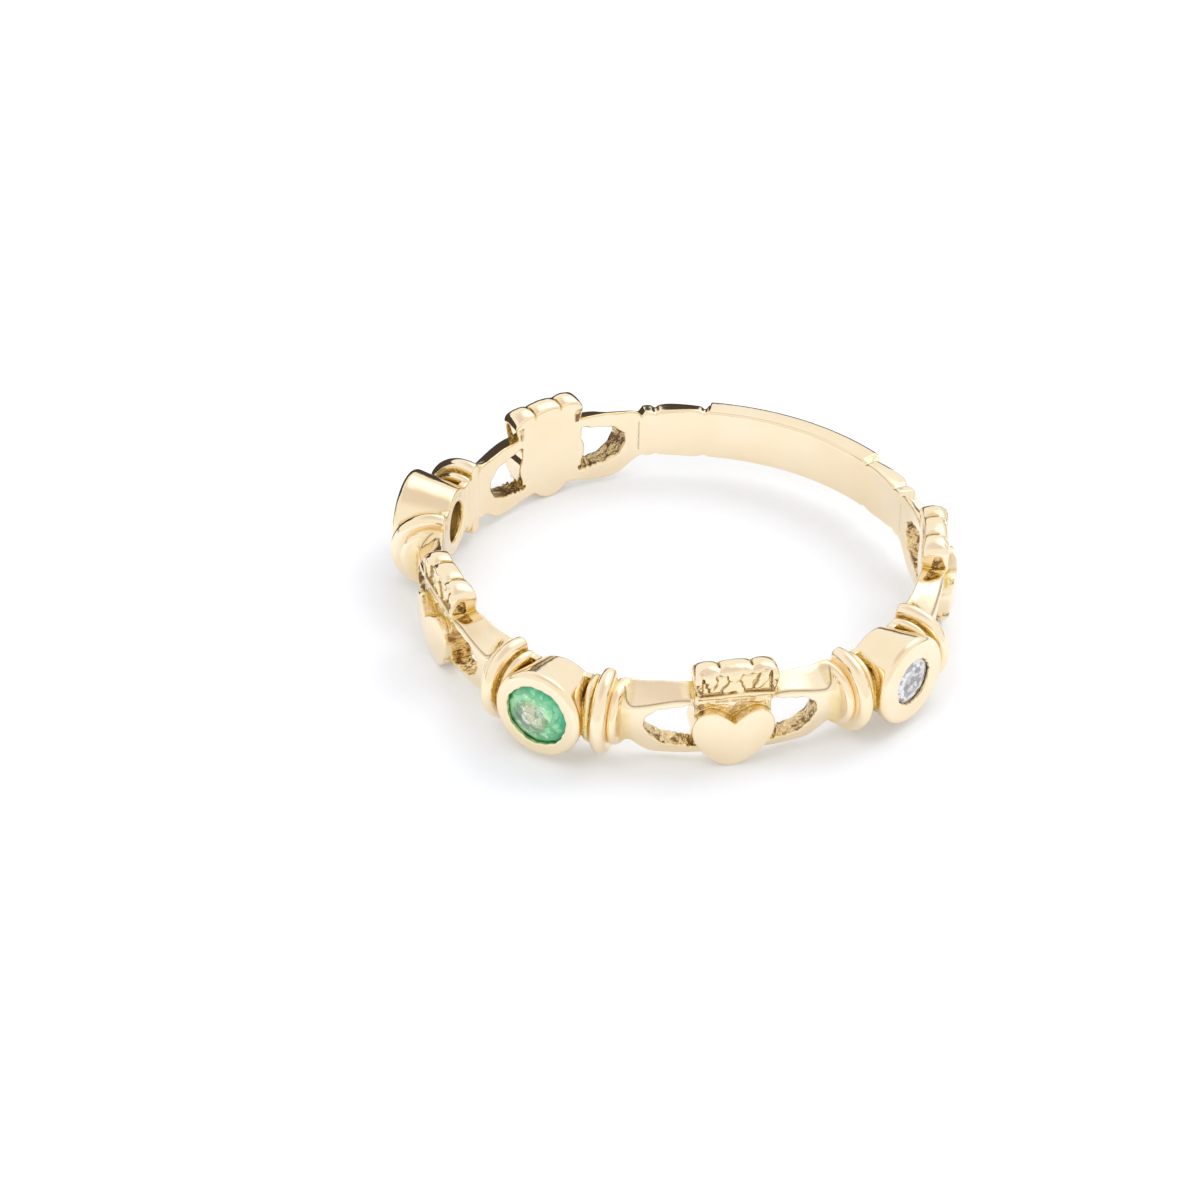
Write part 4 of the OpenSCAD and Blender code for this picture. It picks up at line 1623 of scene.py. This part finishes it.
@dataclass
class Studio:
    """The pale floor, the soft lights, the dark card that draws edges, and the camera."""

    floor_z: float = -1.95
    floor_reach: float = 1500.0
    azimuth: float = 28.8
    elevation: float = 35.35
    distance: float = 150.0
    aim: tuple = (-2.97, -1.66)
    roll: float = 0.95
    focal_px: float = 4115.0
    frame_px: float = 1200.0
    sensor: float = 36.0
    white: tuple = (1.0, 1.0, 1.0, 1.0)
    overhead: tuple = (0.84, 0.78, 0.76, 1.0)
    overhead_at: tuple = (0.72, 0.98)
    band: tuple = (0.05, 0.035, 0.025, 1.0)
    band_bearing: float = 185.0
    band_foot: tuple = (0.0, 0.03)
    band_top: tuple = (0.05, 0.13)
    band_side: tuple = (-0.2, 0.3)
    surround: float = 1.0
    glow: float = 0.8
    glow_at: tuple = (140.0, 52.0)
    glow_edge: tuple = (0.86, 0.99)
    card_steps: int = 24

    def direction(self, azimuth: float, elevation: float) -> np.ndarray:
        """The way from the ring to something at a bearing seen from the camera's side."""
        a, e = math.radians(azimuth), math.radians(elevation)
        return np.array([math.sin(a) * math.cos(e), -math.cos(a) * math.cos(e), math.sin(e)])

    def camera(self) -> None:
        """Puts the camera where the photograph's view has it.

        Formula: a point beside the ring's middle, a long way back along the line of sight, with
        the picture turned by a small roll.
        """
        back, turn = self.direction(self.azimuth, self.elevation), math.radians(self.azimuth)
        across = np.array([math.cos(turn), math.sin(turn), 0.0])
        rise = np.cross(back, across)
        c, s = math.cos(math.radians(self.roll)), math.sin(math.radians(self.roll))
        data = bpy.data.cameras.new("view")
        data.sensor_width = self.sensor
        data.lens = self.focal_px / self.frame_px * self.sensor
        data.clip_start, data.clip_end = 0.005, 10.0
        view = linked("view", data)
        place = across * self.aim[0] + np.array([0, 0, self.aim[1]]) + back * self.distance
        stand(view, (c * across + s * rise, c * rise - s * across, back), place)
        bpy.context.scene.camera = view

    def floor(self) -> None:
        """A wide flat floor just under the ring."""
        far, z = self.floor_reach, self.floor_z
        corners = np.array([(-far, -far, z), (far, -far, z), (far, far, z), (-far, far, z)])
        floor = flat_faced("floor", corners, np.array([(0, 1, 2, 3)]))
        floor.data.materials.append(PaleFloor().material())

    def lamp(self, name: str, azimuth: float, elevation: float, away: float, size: float,
             watts: float) -> None:
        """A soft round lamp that faces the ring and that polished faces don't mirror.

        Args:
            name: The lamp's name.
            azimuth: Its bearing round the ring, in degrees, as for the camera.
            elevation: Its angle over the floor, in degrees.
            away: Its distance, in millimetres.
            size: Its diameter, in millimetres.
            watts: Its power.
        """
        data = bpy.data.lights.new(name, "AREA")
        data.shape = "DISK"
        data.size = size * MM
        data.energy = watts
        lamp = linked(name, data)
        lamp.visible_glossy = False
        way = self.direction(azimuth, elevation)
        across = np.cross([0.0, 0.0, 1.0], way)
        across = across / np.linalg.norm(across)
        stand(lamp, (across, np.cross(way, across), way), way * away)

    def card(self, name: str, bearings: tuple, away: float, tops: tuple, tone: tuple) -> None:
        """A dark upright card on the floor that only polished faces mirror.

        Formula: a strip that stands on an arc round the ring, its upper edge running from one
        height to the other.

        Args:
            name: The card's name.
            bearings: The arc's two ends, in degrees, as for the camera.
            away: The arc's radius, in millimetres.
            tops: The heights of the upper edge at the two ends, in millimetres.
            tone: The light that it gives, as red, green and blue.
        """
        count = self.card_steps
        bearing = np.radians(np.linspace(*bearings, count))
        foot = np.stack([np.sin(bearing), -np.cos(bearing), np.zeros(count)], -1) * away
        top = foot + [0.0, 0.0, 1.0] * np.linspace(*tops, count)[:, None]
        foot[:, 2] = self.floor_z
        k = np.arange(count - 1)
        quads = np.stack([k, k + 1, k + 1 + count, k + count], -1)
        card = flat_faced(name, np.concatenate([foot, top]), quads)
        g = Graph(name)
        g.set(Base_Color=(0, 0, 0, 1), Roughness=1.0, Specular_IOR_Level=0.0)
        g.set(Emission_Color=(*tone, 1.0), Emission_Strength=1.0)
        card.data.materials.append(g.material)
        card.visible_camera = card.visible_diffuse = card.visible_shadow = False

    def world(self) -> None:
        """A white surround with a soft bright spot, and a darker band that draws thin lines on edges.

        Formula: the band is what lies between two heights and on one side, each border eased; the
        spot is eased by the angle from its middle.
        """
        world = bpy.data.worlds.new("surround")
        world.use_nodes = True
        g = NodeTree(world.node_tree)
        way = g.node("TexCoord", {}, "Generated")
        up = g.axes(way)[2]

        def eased(value: object, borders: tuple) -> object:
            """A value eased from 0 to 1 between two borders."""
            return g.spread(value, *borders, way=Spread.EASED)

        def toward(azimuth: float, elevation: float) -> object:
            """How far a direction points to a bearing seen from the camera's side."""
            spot = self.direction(self.azimuth + azimuth, elevation)
            return g.vector("DOT_PRODUCT", way, spot.tolist(), "Value")

        low = g.math("SUBTRACT", 1.0, eased(up, self.band_top))
        band = g.times(low, eased(up, self.band_foot))
        band = g.times(band, eased(toward(self.band_bearing, 0.0), self.band_side))
        colour = g.mix(eased(up, self.overhead_at), self.white, self.overhead)
        near = eased(toward(*self.glow_at), self.glow_edge)
        back = world.node_tree.nodes["Background"]
        g.put(back.inputs["Color"], g.mix(band, colour, self.band))
        g.put(back.inputs["Strength"], g.plus(g.times(near, self.glow), self.surround))
        bpy.context.scene.world = world

    def build(self) -> None:
        """Sets up floor, surround, card, lamps and camera, and plain colour handling."""
        scene = bpy.context.scene
        scene.view_settings.view_transform = "Standard"
        scene.view_settings.look = "None"
        self.floor()
        self.world()
        self.card("dark_card", (170.0, 285.0), 15.5, (3.2, 5.5), (0.07, 0.055, 0.045))
        self.lamp("key", self.azimuth + 125, 48, 160, 110, 0.04)
        self.lamp("fill", self.azimuth - 40, 60, 180, 90, 0.03)
        self.camera()


@dataclass
class Ring:
    """The whole ring: four hearts, three settings, the shank and the stones."""

    plan: RingPlan = field(default_factory=RingPlan)

    def finish_piece(self, piece: bpy.types.Object, finish: bpy.types.Material,
                     node: str) -> None:
        """Dresses a piece, fixes it to the ring's body and hides the node of the part that it stands
        for.

        Args:
            piece: The piece.
            finish: Its material.
            node: The part's node that it stands for.
        """
        piece.data.materials.append(finish)
        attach(piece, BODY)
        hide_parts(node)
        log.info("%s: %d faces", piece.name, len(piece.data.polygons))

    def build_band(self) -> None:
        """Builds the gold pieces; each one's place is counted in steps from the front bezel."""
        plan, gold = self.plan, CastGold().material()
        inner = Motif(plan).shell()
        small = Setting(plan, stone_d=plan.diamond_d).shell()
        for name, steps, shell in (
            ("heart_far_left", -3, Motif(plan, cuffs=(False, True)).shell()),
            ("heart_left", -1, inner),
            ("heart_right", 1, inner),
            ("heart_far_right", 3, Motif(plan, cuffs=(True, False)).shell()),
            ("setting_front", 0, Setting(plan, stone_d=plan.emerald_d).shell()),
            ("setting_left", -2, small),
            ("setting_right", 2, small),
        ):
            self.finish_piece(shell.turned(plan.bearing(steps)).make(name), gold, BAND)
        self.finish_piece(Shank(plan).shell().make("shank"), gold, BAND)

    def build_stones(self) -> None:
        """Cuts the stones, each facing out at its setting's bearing."""
        plan = self.plan
        for node, steps, diameter, slot, finish, name in (
            ("emerald", 0, plan.emerald_d, Slot.GREEN, GreenStone, "emerald_green"),
            ("diamond_left", -2, plan.diamond_d, Slot.CLEAR, ClearStone, "diamond_left_clear"),
            ("diamond_right", 2, plan.diamond_d, Slot.CLEAR, ClearStone, "diamond_right_clear"),
        ):
            bearing, radius = plan.bearing(steps), diameter / 2
            piece = CutGem(plan, radius).make(node + "_cut", bearing)
            material = finish(name=name, radius=radius, bearing=bearing).material()
            self.finish_piece(piece, material, node)


def main() -> None:
    """Builds the ring and the studio."""
    logging.basicConfig(level=logging.INFO, format="%(message)s")
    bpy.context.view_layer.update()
    ring = Ring()
    ring.build_band()
    ring.build_stones()
    Studio().build()


if __name__ == "__main__":
    main()
